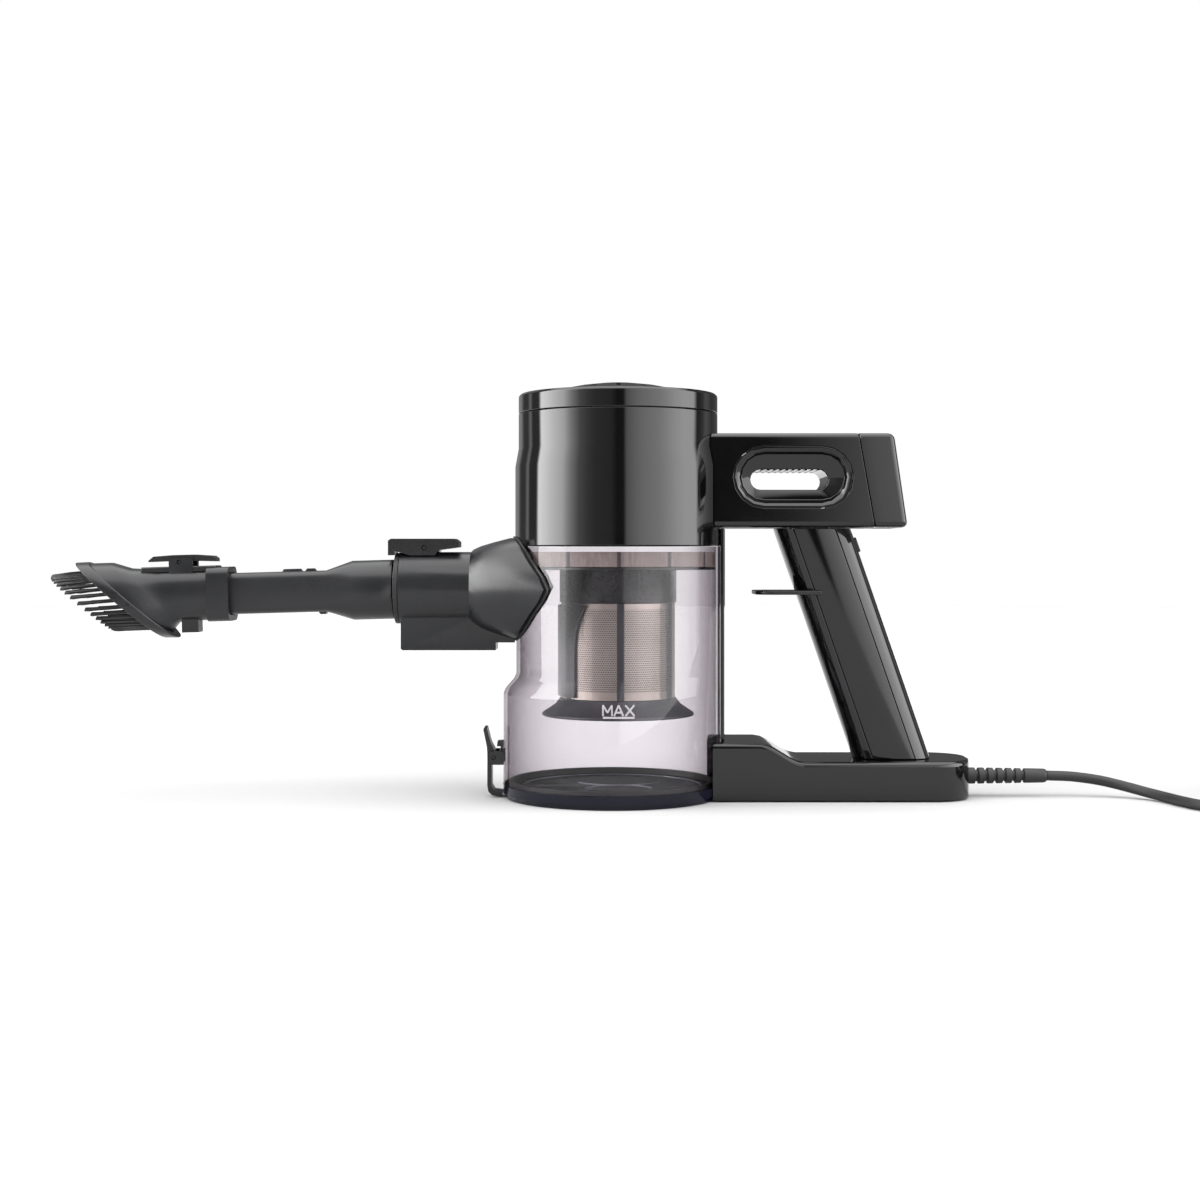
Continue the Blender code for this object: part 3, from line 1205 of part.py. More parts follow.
def make_base(mats):
    arm = put("base_arm", skin(base_rings(0, BASE_LIFT, 0, BIN_R - 0.016)), mats["gloss"])
    wall_front = BIN_R + 0.012
    cavity = helper("base_cavity", skin(base_rings(BASE_WALL, -0.01, BASE_WALL, wall_front)))
    seat = helper("base_bin_seat", bin_envelope(RAIL_GAP, -0.02, 0.06))
    depth = hinge_x() + HINGE_PIN_R + HINGE_POCKET_DEPTH
    inside = BIN_R - 0.021
    half = HINGE_POCKET_HALF
    pocket = helper("hinge_pocket", box(inside, depth, -half, half, -0.01, HINGE_POCKET_TOP))
    lead_x = grip_front(BASE_LOW) + GRIP_DEPTH_X / 2
    lead_hole = helper("base_lead_hole", rod(LEAD_HOLE_R, 0, 0.05, 12, centre=(lead_x, 0, 0)))
    sweep_half = BASE_HALF - BASE_WALL
    front = hinge_x() - KNUCKLE_R
    sweep = helper("lid_sweep", box(inside, front, -sweep_half, sweep_half, -0.01, LID_SWEEP_TOP))
    cut(arm, cavity, seat, pocket, sweep, lead_hole)

    inset = BASE_WALL + GAP
    cover_low, cover_top = BASE_LIFT, BASE_LIFT + 0.002
    rings = base_rings(inset, cover_low, 0, wall_front + GAP)
    plan = [(ring[0].x, ring[-1].y) for ring in rings]
    plan += [(x, -y) for x, y in reversed(plan)]
    put("base_cover", prism(plan, cover_low, cover_top, "Z"), mats["satin"])
    pad = [(FOOT_X + u, v) for u, v in round_rect(FOOT_LENGTH / 2, BASE_HALF - 0.006, 0.003)]
    put("base_foot", prism(pad, 0, BASE_LIFT - GAP, "Z"), mats["rubber"])

    make_inner_lead(mats, lead_x)


def make_inner_lead(mats, lead_x):
    """The cord's inner end, from the rear of the base arm up inside the grip to the switch."""
    inner_end = BASE_END_X - BASE_WALL - 0.0006
    switch_x = grip_front(BUTTON_Z) + GRIP_DEPTH_X - 0.017
    middle_z = GRIP_TOP - 0.0703
    middle_x = grip_front(middle_z) + GRIP_DEPTH_X / 2
    route = [(inner_end, 0, CORD_AXIS_Z), (inner_end - 0.018, 0, CORD_AXIS_Z), (lead_x + 0.010, 0, 0.0108),
             (lead_x + 0.0012, 0, 0.0175), (lead_x - 0.003, 0, 0.030), (middle_x, 0, middle_z),
             (switch_x - 0.001, 0, BUTTON_Z - 0.0225), (switch_x - 0.002, 0, BUTTON_Z - 0.016)]
    tube("inner_lead", smooth_path(route, 4), INNER_LEAD_R, mats["rubber"])


def make_rail(mats):
    """A strip down the bin's rear, from the rear arm to the base arm, clear of the bin's slide."""
    inner = HOUSING_R + GAP
    outer = inner + RAIL_THICK
    steps = 6
    half = RAIL_HALF / inner
    angles = [-half + 2 * half * i / steps for i in range(steps + 1)]
    outline = [(inner * cos(a), inner * sin(a)) for a in angles]
    outline += [(outer * cos(a), outer * sin(a)) for a in reversed(angles)]
    put("rear_rail", prism(outline, RAIL_LOW, RAIL_HIGH, "Z"), mats["gloss"])


# ---------- cord ----------

def make_cord(mats):
    start = BASE_END_X + GAP
    profile = [(RELIEF_R, start), (RELIEF_R, start + 0.004), (RELIEF_TIP_R, RELIEF_END_X - 0.002),
               (RELIEF_TIP_R - 0.0006, RELIEF_END_X)]
    relief = turned(profile, SMALL_STEPS, "X", (0, 0, CORD_AXIS_Z), hollow=False)
    put("strain_relief", relief, mats["rubber"])
    tube("cord_lead", smooth_path(CORD_ROUTE, 3), CORD_R, mats["rubber"])
    centre = (COIL_X, COIL_Y, 0)
    inner, outer = COIL_MID_R - COIL_HALF_WIDTH, COIL_MID_R + COIL_HALF_WIDTH
    r = COIL_ROUND
    coil = [(outer - r, 0.0002), (outer, r), (outer, COIL_HEIGHT - r), (outer - r, COIL_HEIGHT),
            (inner + r, COIL_HEIGHT), (inner, COIL_HEIGHT - r), (inner, r), (inner + r, 0.0002)]
    put("cord_coil", turned(coil, 36, centre=centre), mats["rubber"])
    make_tie(mats, inner, outer)
    tube("cord_tail", smooth_path(TAIL_ROUTE, 3), CORD_R, mats["rubber"])
    make_plug(mats)


def make_tie(mats, inner, outer):
    """A flat band over the top and down both sides of the coil, at its far side."""
    t, gap = TIE_THICK, GAP
    top = COIL_HEIGHT + gap
    low = 0.004
    near, far = inner - gap, outer + gap
    outline = [(near, low), (near, top), (far, top), (far, low),
               (far + t, low), (far + t, top + t), (near - t, top + t), (near - t, low)]
    sides = (-TIE_HALF, TIE_HALF)
    bm = skin([[Vector((COIL_X + y, COIL_Y + u, v)) for u, v in outline] for y in sides])
    tie = put("cord_tie", bm, mats["matte"])
    clear = turned([(outer + gap / 2, -0.01), (outer + gap / 2, top), (inner - gap / 2, top),
                    (inner - gap / 2, -0.01)], 36, centre=(COIL_X, COIL_Y, 0))
    cut(tie, helper("tie_cutter", clear))


def make_plug(mats):
    """A flat two-pin plug, lying on the floor beside the coil with its pins pointing along +Y."""
    sections = ((0.0, 0.0042, 0.0042), (0.008, 0.0050, 0.0050), (0.014, 0.0085, 0.0062),
                (0.022, 0.0150, 0.0072), (PLUG_LENGTH, 0.0155, 0.0072))
    rings = []
    for y, half_w, half_h in sections:
        outline = round_rect(half_w, half_h, min(half_w, half_h) * 0.6, 3)
        rings.append([Vector((PLUG_X + u, PLUG_START + y, PLUG_Z + v)) for u, v in outline])
    plug = put("plug", skin(rings), mats["rubber"])
    pin_low = PLUG_START + PLUG_LENGTH - 0.002
    tip = PLUG_START + PLUG_LENGTH + PLUG_PIN_LENGTH
    for name, side in (("a", -1), ("b", 1)):
        centre = (PLUG_X + side * PLUG_PIN_SPREAD, 0, PLUG_Z)
        profile = [(PLUG_PIN_R, pin_low), (PLUG_PIN_R, tip - 0.001), (PLUG_PIN_R * 0.6, tip)]
        pin = turned(profile, 12, "Y", centre, hollow=False)
        boolean(plug, helper(f"plug_pin_{name}", pin), "UNION")


def make_materials():
    return {
        "gloss": material("gloss_black", (0.012, 0.012, 0.013), 0.12),
        "satin": material("satin_black", (0.02, 0.02, 0.021), 0.4),
        "matte": material("matte_graphite", (0.045, 0.046, 0.05), 0.5),
        "rubber": material("black_rubber", (0.015, 0.015, 0.015), 0.7),
        "clear": material("smoky_clear", (0.78, 0.74, 0.78), 0.05, alpha=0.3),
        "grey": material("shroud_grey", (0.11, 0.11, 0.12), 0.4),
        "steel": material("steel", (0.6, 0.57, 0.53), 0.3, 1.0),
        "copper": material("copper", (0.7, 0.35, 0.2), 0.35, 1.0),
        "paper": material("filter_paper", (0.75, 0.68, 0.62), 0.9),
        "bristle": material("bristle_black", (0.02, 0.02, 0.02), 0.5),
    }


def main():
    clear_scene()
    mats = make_materials()
    make_housing(mats)
    make_motor(mats)
    make_bin(mats)
    make_separator(mats)
    make_lid(mats)
    make_bin_latch(mats)
    make_nozzle(mats)
    axis = tool_axis()
    make_tool(mats, axis)
    make_brush(mats, axis)
    make_arm(mats)
    make_end_cap(mats)
    make_grip(mats)
    make_base(mats)
    make_rail(mats)
    make_cord(mats)


main()
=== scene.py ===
"""Looks of the corded cyclone handheld vacuum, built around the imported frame."""

import json
from math import atan2, cos, pi, radians, sin, sqrt

import bmesh
import bpy
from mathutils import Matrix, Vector


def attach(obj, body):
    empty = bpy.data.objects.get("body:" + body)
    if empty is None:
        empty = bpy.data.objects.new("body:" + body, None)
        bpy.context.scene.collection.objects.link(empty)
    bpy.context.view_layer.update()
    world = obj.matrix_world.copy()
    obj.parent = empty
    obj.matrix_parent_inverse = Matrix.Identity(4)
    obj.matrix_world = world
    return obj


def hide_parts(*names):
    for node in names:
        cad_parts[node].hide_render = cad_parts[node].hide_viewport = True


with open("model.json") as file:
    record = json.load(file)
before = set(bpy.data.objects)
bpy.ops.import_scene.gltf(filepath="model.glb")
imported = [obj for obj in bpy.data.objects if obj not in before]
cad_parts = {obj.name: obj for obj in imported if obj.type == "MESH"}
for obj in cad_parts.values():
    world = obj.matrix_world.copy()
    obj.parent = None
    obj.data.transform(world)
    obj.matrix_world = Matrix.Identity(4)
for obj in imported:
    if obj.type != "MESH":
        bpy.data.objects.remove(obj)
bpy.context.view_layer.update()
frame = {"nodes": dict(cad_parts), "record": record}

BODIES = frame["record"]["behaviour"]["bodies"]
BODY_OF = {node: body for body, nodes in BODIES.items() for node in nodes}

# ---------- camera ----------
# It looks level at the vacuum's left side, and its frame is shifted down as in the photograph.
CAMERA_AT = (-0.0108, -1.080, 0.1445)
LENS, SENSOR = 54, 36
FRAME_SHIFT = -0.0375
CAMERA_REACH = 60

camera = bpy.data.objects.new("camera", bpy.data.cameras.new("camera"))
bpy.context.scene.collection.objects.link(camera)
camera.location = CAMERA_AT
camera.rotation_euler = (radians(90), 0, 0)
camera.data.lens = LENS
camera.data.sensor_width = SENSOR
camera.data.shift_y = FRAME_SHIFT
camera.data.clip_end = CAMERA_REACH
bpy.context.scene.camera = camera

# ---------- cord ----------
# The route's points are part.py's own, in metres.
CORD_R = 0.003
LEAD_ROUTE = (
    (0.2571, 0.0, 0.0122), (0.272, 0.0, 0.0116), (0.288, -0.002, 0.0096), (0.302, -0.007, 0.0066),
    (0.313, -0.017, 0.0041), (0.320, -0.031, 0.0031), (0.324, -0.048, 0.00305), (0.330, -0.064, 0.00305),
    (0.342, -0.077, 0.00305), (0.358, -0.083, 0.00305), (0.378, -0.080, 0.00305), (0.398, -0.072, 0.00305),
    (0.4185, -0.0645, 0.00305),
)
TAIL_ROUTE = (
    (0.4926, 0.0085, 0.0078), (0.4915, 0.016, 0.0080), (0.4892, 0.0235, 0.0082), (0.4885, 0.0285, 0.0082),
    (0.4885, 0.032, 0.0082),
)
LEAD_STEPS, TAIL_STEPS = 4, 6
COIL_X, COIL_Y = 0.440, -0.012
COIL_INNER_LINE_R = 0.0299
COIL_PITCH, COIL_RISE, COIL_OFF_FLOOR = 0.00607, 0.00603, 0.0001
COIL_ROWS, COIL_COLUMNS = 5, 4
COIL_START, COIL_LEAVE = radians(275), radians(335)
COIL_SHIFT = radians(45)
TURN_POINTS = 40
CORD_ROUNDING = 4


def smooth_path(route, per_span):
    """Catmull-Rom points through the route's own points."""
    points = [Vector(p) for p in route]
    ends = [2 * points[0] - points[1]] + points + [2 * points[-1] - points[-2]]
    found = []
    for i in range(1, len(ends) - 2):
        a, b, c, d = ends[i - 1 : i + 3]
        for k in range(per_span):
            t = k / per_span
            found.append(0.5 * (2 * b + (c - a) * t + (2 * a - 5 * b + 4 * c - d) * t * t
                                + (3 * b - a - 3 * c + d) * t ** 3))
    return found + [points[-1]]


def winding_order():
    """(column, row) of each turn: in along the floor, then out again, up one column and down the next."""
    order = [(column, 0) for column in reversed(range(COIL_COLUMNS))]
    for column in range(COIL_COLUMNS):
        rows = list(range(1, COIL_ROWS))
        order += [(column, row) for row in (rows if column % 2 == 0 else reversed(rows))]
    return order


def coil_points():
    """Every turn is a circle that slides over to the next turn's circle in its last eighth."""
    lowest = CORD_R + COIL_OFF_FLOOR
    cells = [(COIL_INNER_LINE_R + COIL_PITCH * c, lowest + COIL_RISE * r) for c, r in winding_order()]
    points = []
    for turn, (r, z) in enumerate(cells):
        last = turn == len(cells) - 1
        sweep = COIL_LEAVE - COIL_START if last else 2 * pi
        count = max(4, round(TURN_POINTS * sweep / (2 * pi)))
        for k in range(count):
            angle = k / count * sweep
            left = (angle - (2 * pi - COIL_SHIFT)) / COIL_SHIFT
            t = 0 if last or left < 0 else left * left * (3 - 2 * left)
            to = cells[min(turn + 1, len(cells) - 1)]
            rr, zz = r + (to[0] - r) * t, z + (to[1] - z) * t
            turned_to = COIL_START + angle
            points.append(Vector((COIL_X + rr * cos(turned_to), COIL_Y + rr * sin(turned_to), zz)))
    return points


def cord_points():
    """Lead, coil and tail. The lead and tail are smoothed into the coil, and cut where it takes over."""
    coil = coil_points()
    lead = smooth_path(LEAD_ROUTE + tuple(coil[:2]), LEAD_STEPS)[: -LEAD_STEPS - 1]
    tail = smooth_path(tuple(coil[-2:]) + TAIL_ROUTE, TAIL_STEPS)[TAIL_STEPS:]
    return lead + coil + tail


def make_cord():
    """The cord as one tube along its route. It stands for the frame's three lengths of cord."""
    data = bpy.data.curves.new("flex", "CURVE")
    data.dimensions = "3D"
    data.bevel_depth = CORD_R
    data.bevel_resolution = CORD_ROUNDING
    data.use_fill_caps = True
    points = cord_points()
    spline = data.splines.new("POLY")
    spline.points.add(len(points) - 1)
    for point, p in zip(spline.points, points):
        point.co = (*p, 1)
    spline.use_smooth = True
    data.materials.append(MATS["rubber"])
    piece = bpy.data.objects.new("flex", data)
    bpy.context.scene.collection.objects.link(piece)
    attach(piece, "main_unit")
    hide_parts("cord_lead", "cord_coil", "cord_tail")
    return piece


# ---------- materials ----------
class Nodes:
    """A material's node tree, with short calls for its nodes."""

    def __init__(self, name):
        self.material = bpy.data.materials.new(name)
        self.material.use_nodes = True
        self.tree = self.material.node_tree
        self.tree.nodes.clear()
        self.output = self.add("ShaderNodeOutputMaterial")
        self.coordinates = self.add("ShaderNodeTexCoord").outputs["Object"]

    def add(self, kind, **settings):
        node = self.tree.nodes.new(kind)
        for key, value in settings.items():
            setattr(node, key, value)
        return node

    def feed(self, socket, value):
        if isinstance(value, bpy.types.NodeSocket):
            self.tree.links.new(value, socket)
        else:
            socket.default_value = value

    def math(self, operation, a, b=0.0):
        node = self.add("ShaderNodeMath", operation=operation)
        for socket, value in zip(node.inputs, (a, b)):
            self.feed(socket, value)
        return node.outputs[0]

    def noise(self, scale, detail=3.0, roughness=0.55, stretch=(1, 1, 1)):
        vector = self.coordinates
        if stretch != (1, 1, 1):
            mapping = self.add("ShaderNodeMapping")
            self.feed(mapping.inputs["Vector"], self.coordinates)
            mapping.inputs["Scale"].default_value = stretch
            vector = mapping.outputs[0]
        node = self.add("ShaderNodeTexNoise")
        self.feed(node.inputs["Vector"], vector)
        node.inputs["Scale"].default_value = scale
        node.inputs["Detail"].default_value = detail
        node.inputs["Roughness"].default_value = roughness
        return node.outputs["Fac"]

    def remap(self, value, low, high, to_low, to_high):
        node = self.add("ShaderNodeMapRange")
        self.feed(node.inputs["Value"], value)
        self.feed(node.inputs["From Min"], low)
        self.feed(node.inputs["From Max"], high)
        self.feed(node.inputs["To Min"], to_low)
        self.feed(node.inputs["To Max"], to_high)
        return node.outputs[0]

    def mix(self, factor, a, b):
        node = self.add("ShaderNodeMix", data_type="RGBA")
        self.feed(node.inputs[0], factor)
        self.feed(node.inputs[6], (*a, 1) if isinstance(a, tuple) else a)
        self.feed(node.inputs[7], (*b, 1) if isinstance(b, tuple) else b)
        return node.outputs[2]

    def mix_shaders(self, factor, a, b):
        node = self.add("ShaderNodeMixShader")
        for socket, value in zip(node.inputs, (factor, a, b)):
            self.feed(socket, value)
        return node.outputs[0]

    def bump(self, height, strength, distance, under=None):
        node = self.add("ShaderNodeBump")
        self.feed(node.inputs["Height"], height)
        node.inputs["Strength"].default_value = strength
        node.inputs["Distance"].default_value = distance
        if under is not None:
            self.feed(node.inputs["Normal"], under)
        return node.outputs[0]

    def principled(self, **values):
        node = self.add("ShaderNodeBsdfPrincipled")
        for key, value in values.items():
            self.feed(node.inputs[key.replace("_", " ")], value)
        self.feed(self.output.inputs[0], node.outputs[0])


def shade(color, factor, lift=0.0):
    """The colour, lighter or darker."""
    return tuple(min(1, c * factor + lift) for c in color)


def gloss_plastic(name, color, rough=(0.055, 0.10), wave=0.12, shine=0.5):
    """Polished ABS: a faint wave in the reflections, and handling smudges in the gloss."""
    n = Nodes(name)
    smudge = n.noise(26, 4, 0.6)
    dust = n.noise(900, 2, 0.5)
    tint = n.mix(n.remap(smudge, 0.35, 0.7, 0, 1), color, shade(color, 1.25, 0.0006))
    roughness = n.math("ADD", n.remap(smudge, 0.35, 0.75, *rough), n.remap(dust, 0.6, 0.8, 0, 0.02))
    normal = n.bump(n.noise(16, 2, 0.4), wave, 0.0006)
    n.principled(Base_Color=tint, Roughness=roughness, IOR=1.5, Specular_IOR_Level=shine, Normal=normal)
    return n.material


def moulded_plastic(name, color, rough=(0.36, 0.5), grain=0.25, spread=1.3):
    """Spark-eroded moulded plastic: a fine even grain, slightly polished where it is handled."""
    n = Nodes(name)
    wear = n.noise(34, 4, 0.6)
    fine = n.noise(2600, 2, 0.6)
    tint = n.mix(n.remap(wear, 0.35, 0.7, 0, 1), color, shade(color, spread, 0.001))
    tint = n.mix(n.remap(fine, 0.4, 0.7, 0, 0.35), tint, shade(color, 1.7))
    worn = n.remap(wear, 0.35, 0.7, *rough)
    roughness = n.math("ADD", worn, n.remap(fine, 0.3, 0.7, -0.03, 0.03))
    normal = n.bump(fine, grain, 0.00012, n.bump(n.noise(22, 2, 0.4), 0.05, 0.0006))
    n.principled(Base_Color=tint, Roughness=roughness, IOR=1.48, Normal=normal)
    return n.material


def rubber(name, color, rough=(0.5, 0.62)):
    """Soft black rubber or nylon, with a pale bloom in patches."""
    n = Nodes(name)
    bloom = n.noise(60, 4, 0.65)
    fine = n.noise(1800, 3, 0.6)
    tint = n.mix(n.remap(bloom, 0.4, 0.75, 0, 1), color, shade(color, 1.5, 0.003))
    normal = n.bump(fine, 0.3, 0.0002)
    n.principled(Base_Color=tint, Roughness=n.remap(bloom, 0.3, 0.7, *rough), IOR=1.5, Normal=normal)
    return n.material


def metal(name, color, rough=(0.2, 0.34), brush=(1, 1, 40)):
    """Bare metal with fine lines along its grain."""
    n = Nodes(name)
    lines = n.noise(420, 3, 0.6, brush)
    tint = n.mix(n.remap(lines, 0.3, 0.7, 0, 1), shade(color, 0.82), color)
    roughness = n.remap(lines, 0.3, 0.7, *rough)
    n.principled(Base_Color=tint, Metallic=1.0, Roughness=roughness, Normal=n.bump(lines, 0.15, 0.0001))
    return n.material


def around_axis(n):
    """The angle round the housing's axis, in radians, and the height, as sockets."""
    parts = n.add("ShaderNodeSeparateXYZ")
    n.feed(parts.inputs[0], n.coordinates)
    return n.math("ARCTAN2", parts.outputs[1], parts.outputs[0]), parts.outputs[2]


SCREEN_R = 0.0341
HOLE_PITCH = 0.0014
HOLE_ROW = HOLE_PITCH * 0.9
HOLE_INSIDE, HOLE_OUTSIDE = 0.28, 0.37
HOLES_FROM, HOLES_TO, HOLES_FADE = 0.0640, 0.1128, 0.0002


def perforated_steel(name):
    """Etched filter screen: staggered holes in rows, between plain bands at its top and foot. The holes are
    not cut: they are painted near black, as painted shade of the inside seen through them.
    """
    n = Nodes(name)
    angle, z = around_axis(n)
    row = n.math("DIVIDE", z, HOLE_ROW)
    stagger = n.math("MULTIPLY", n.math("MODULO", n.math("FLOOR", row), 2.0), 0.5)
    across = n.math("ADD", n.math("MULTIPLY", angle, SCREEN_R / HOLE_PITCH), stagger)
    u = n.math("SUBTRACT", n.math("FRACT", across), 0.5)
    v = n.math("SUBTRACT", n.math("FRACT", row), 0.5)
    reach = n.math("SQRT", n.math("ADD", n.math("MULTIPLY", u, u), n.math("MULTIPLY", v, v)))
    hole = n.remap(reach, HOLE_INSIDE, HOLE_OUTSIDE, 1, 0)
    above = n.remap(z, HOLES_FROM, HOLES_FROM + HOLES_FADE, 0, 1)
    below = n.remap(z, HOLES_TO, HOLES_TO - HOLES_FADE, 0, 1)
    hole = n.math("MULTIPLY", hole, n.math("MULTIPLY", above, below))
    stain = n.noise(40, 4, 0.6)
    steel = n.mix(n.remap(stain, 0.35, 0.7, 0, 1), (0.30, 0.265, 0.24), (0.40, 0.36, 0.33))
    # painted shade: each hole is near black, standing for the shaded inside of the screen seen through it
    tint = n.mix(hole, steel, (0.02, 0.018, 0.017))
    solid = n.math("SUBTRACT", 1.0, hole)
    roughness = n.remap(stain, 0.3, 0.7, 0.36, 0.46)
    n.principled(Base_Color=tint, Metallic=solid, Roughness=roughness, Normal=n.bump(hole, 0.5, -0.0002))
    return n.material


MEDIA_RIBS = 12


def ribbed_media(name):
    """Fibrous filter fabric, with dark upright ribs round it."""
    n = Nodes(name)
    fibre = n.noise(700, 4, 0.7, (1, 1, 0.15))
    angle, _ = around_axis(n)
    cell = n.math("FRACT", n.math("MULTIPLY", angle, MEDIA_RIBS / (2 * pi)))
    rib = n.remap(n.math("ABSOLUTE", n.math("SUBTRACT", cell, 0.5)), 0.45, 0.475, 0, 1)
    tint = n.mix(n.remap(fibre, 0.3, 0.7, 0, 1), (0.15, 0.12, 0.11), (0.28, 0.235, 0.215))
    tint = n.mix(rib, tint, (0.05, 0.045, 0.05))
    roughness = n.remap(fibre, 0.3, 0.7, 0.75, 0.95)
    n.principled(Base_Color=tint, Roughness=roughness, Normal=n.bump(fibre, 0.5, 0.0004))
    return n.material


BIN_TINT, BIN_RIM_TINT = (0.930, 0.916, 0.928), (0.46, 0.43, 0.455)
RIM_POWER, GRAZING_POWER = 1.5, 5.0


def smoky_clear(name, mirror_at):
    """Tinted clear polycarbonate, darker towards the grazing rim, where the wall is seen lengthwise.

    mirror_at is the share that its outer face mirrors when seen square on, and what grazing adds to it.
    """
    n = Nodes(name)
    facing = n.add("ShaderNodeLayerWeight")
    facing.inputs["Blend"].default_value = 0.5
    rim = n.math("POWER", facing.outputs["Facing"], RIM_POWER)
    scuff = n.noise(60, 4, 0.6)
    tint = n.mix(rim, BIN_TINT, BIN_RIM_TINT)
    tint = n.mix(n.remap(scuff, 0.45, 0.8, 0, 0.12), tint, shade(BIN_TINT, 0.92))
    clear = n.add("ShaderNodeBsdfTransparent")
    n.feed(clear.inputs["Color"], tint)
    shine = n.add("ShaderNodeBsdfGlossy")
    n.feed(shine.inputs["Roughness"], n.remap(scuff, 0.4, 0.8, 0.02, 0.06))
    n.feed(shine.inputs["Normal"], n.bump(n.noise(14, 2, 0.4), 0.06, 0.0006))
    grazing = n.math("POWER", facing.outputs["Facing"], GRAZING_POWER)
    mirror = n.math("ADD", n.math("MULTIPLY", grazing, mirror_at[1]), mirror_at[0])
    outside = n.math("SUBTRACT", 1.0, n.add("ShaderNodeNewGeometry").outputs["Backfacing"])
    both = n.mix_shaders(n.math("MULTIPLY", mirror, outside), clear.outputs[0], shine.outputs[0])
    n.feed(n.output.inputs[0], both)
    return n.material


MATS = {
    "gloss": gloss_plastic("gloss_black", (0.0018, 0.0018, 0.0021)),
    "satin": moulded_plastic("satin_black", (0.006, 0.006, 0.0068), (0.26, 0.36), 0.12),
    "matte": moulded_plastic("matte_graphite", (0.0052, 0.0054, 0.0066), (0.28, 0.35), 0.2),
    "rubber": rubber("black_rubber", (0.006, 0.006, 0.006)),
    "tie": rubber("tie_black", (0.02, 0.02, 0.02), (0.6, 0.75)),
    "clear": smoky_clear("smoky_clear", (0.034, 0.4)),
    "clear_inside": smoky_clear("smoky_clear_inside", (0.004, 0.1)),
    "mark": moulded_plastic("mark_paint", (0.42, 0.42, 0.42), (0.4, 0.5), 0.05, 1.1),
    # ridge: light grey painted highlight, standing for the light caught by the edges of the lid's ridges
    "ridge": moulded_plastic("ridge_painted_highlight", (0.14, 0.14, 0.17), (0.2, 0.28), 0.05),
    "collar": moulded_plastic("collar_grey", (0.006, 0.006, 0.0075), (0.24, 0.32), 0.1),
    "grey": moulded_plastic("shroud_grey", (0.022, 0.022, 0.026), (0.3, 0.42), 0.1),
    "steel": metal("brushed_steel", (0.62, 0.60, 0.57)),
    "screen": perforated_steel("perforated_screen"),
    "copper": metal("enamelled_copper", (0.72, 0.33, 0.16), (0.25, 0.4), (1, 1, 12)),
    "media": ribbed_media("filter_media"),
    "bristle": rubber("bristle_nylon", (0.008, 0.008, 0.008), (0.3, 0.42)),
    # lid: its black is its own colour; its blue tint is painted reflection, for the bluish light reflected
    # on the lid
    "lid": gloss_plastic("lid_black_painted_reflection", (0.003, 0.003, 0.008), (0.05, 0.09), 0.01, 0.25),
}
FINISH = {
    "gloss": ["motor_housing", "top_cap", "rear_arm_left", "rear_arm_right", "slot_bezel_left",
              "slot_bezel_right", "slot_liner", "rear_end_cap", "base_arm", "base_cover", "grip_front_strip",
              "grip_rear_strip", "grip_panel_left", "grip_panel_right", "rear_rail"],
    "satin": ["finger_rest", "switch_body", "power_button", "exhaust_grille", "release_button",
              "brush_lever", "bin_latch", "latch_bracket", "armature", "fan_shroud", "release_pin",
              "brush_lever_pin", "latch_pin"],
    "matte": ["inlet_nozzle", "crevice_tube", "brush_body"],
    "rubber": ["inlet_gasket", "intake_seal", "lid_seal", "mouth_ring", "base_foot", "motor_mount", "plug",
               "inner_lead"],
    "tie": ["cord_tie"],
    "clear": ["bin_body"],
    "grey": ["skirt", "inlet_baffle", "cyclone_cone"],
    "collar": ["separator_plate"],
    "steel": ["latch_spring", "lid_hinge_pin", "motor_shaft", "impeller", "motor_bracket"],
    "screen": ["mesh_shroud"],
    "copper": ["motor_field"],
    "media": ["filter_band", "exhaust_filter"],
    "bristle": ["bristle_ring"],
    "lid": ["bin_lid"],
}

# ---------- pieces refined from the frame ----------
EDGE_OF = {
    "gloss": 0.0005, "satin": 0.0004, "matte": 0.0006, "rubber": 0.0003, "tie": 0.0003, "clear": 0.0005,
    "grey": 0.0004, "steel": 0.0001, "screen": 0.0001, "copper": 0.0003, "media": 0.0002, "bristle": 0.0,
    "lid": 0.0005, "collar": 0.0004,
}
ON_HOUSING_AXIS = {"motor_housing", "top_cap", "exhaust_grille", "separator_plate", "mesh_shroud", "skirt",
                   "filter_band", "cyclone_cone"}
ROUND_ABOUT_Z = ON_HOUSING_AXIS | {"bin_lid", "lid_seal", "bin_body"}
FLAT_SIDED = {"rear_arm_left", "rear_arm_right", "rear_end_cap", "base_arm", "base_cover", "release_button",
              "brush_lever", "bin_latch", "latch_bracket", "finger_rest"}
FACET = 2 * pi / 36
THIRDS = (1 / 3, 2 / 3)
UPPER_R, LOWER_R = 0.061, 0.0648
FLARE_LOW, FLARE_HIGH = 0.062, 0.074
WELD = 2e-6
FLAT_ANGLE = radians(0.6)
NODE_SHARP, DETAIL_SHARP = radians(33), radians(35)
BEVEL_ANGLE = radians(38)


def axis_x(node, z):
    """Where the piece's rings are centred at this height: the bin's lower half is set forward."""
    if node in ON_HOUSING_AXIS:
        return 0.0
    t = min(1, max(0, (FLARE_HIGH - z) / (FLARE_HIGH - FLARE_LOW)))
    return (UPPER_R - LOWER_R) * t


def cut_wedges(bm, node):
    """Cuts each of the frame's flat facets in three, from the axis outwards."""
    x = axis_x(node, min(v.co.z for v in bm.verts))
    for k in range(round(pi / FACET)):
        for part in THIRDS:
            angle = (k + part) * FACET
            geometry = bm.verts[:] + bm.edges[:] + bm.faces[:]
            across = (-sin(angle), cos(angle), 0)
            bmesh.ops.bisect_plane(bm, geom=geometry, plane_co=(x, 0, 0), plane_no=across)


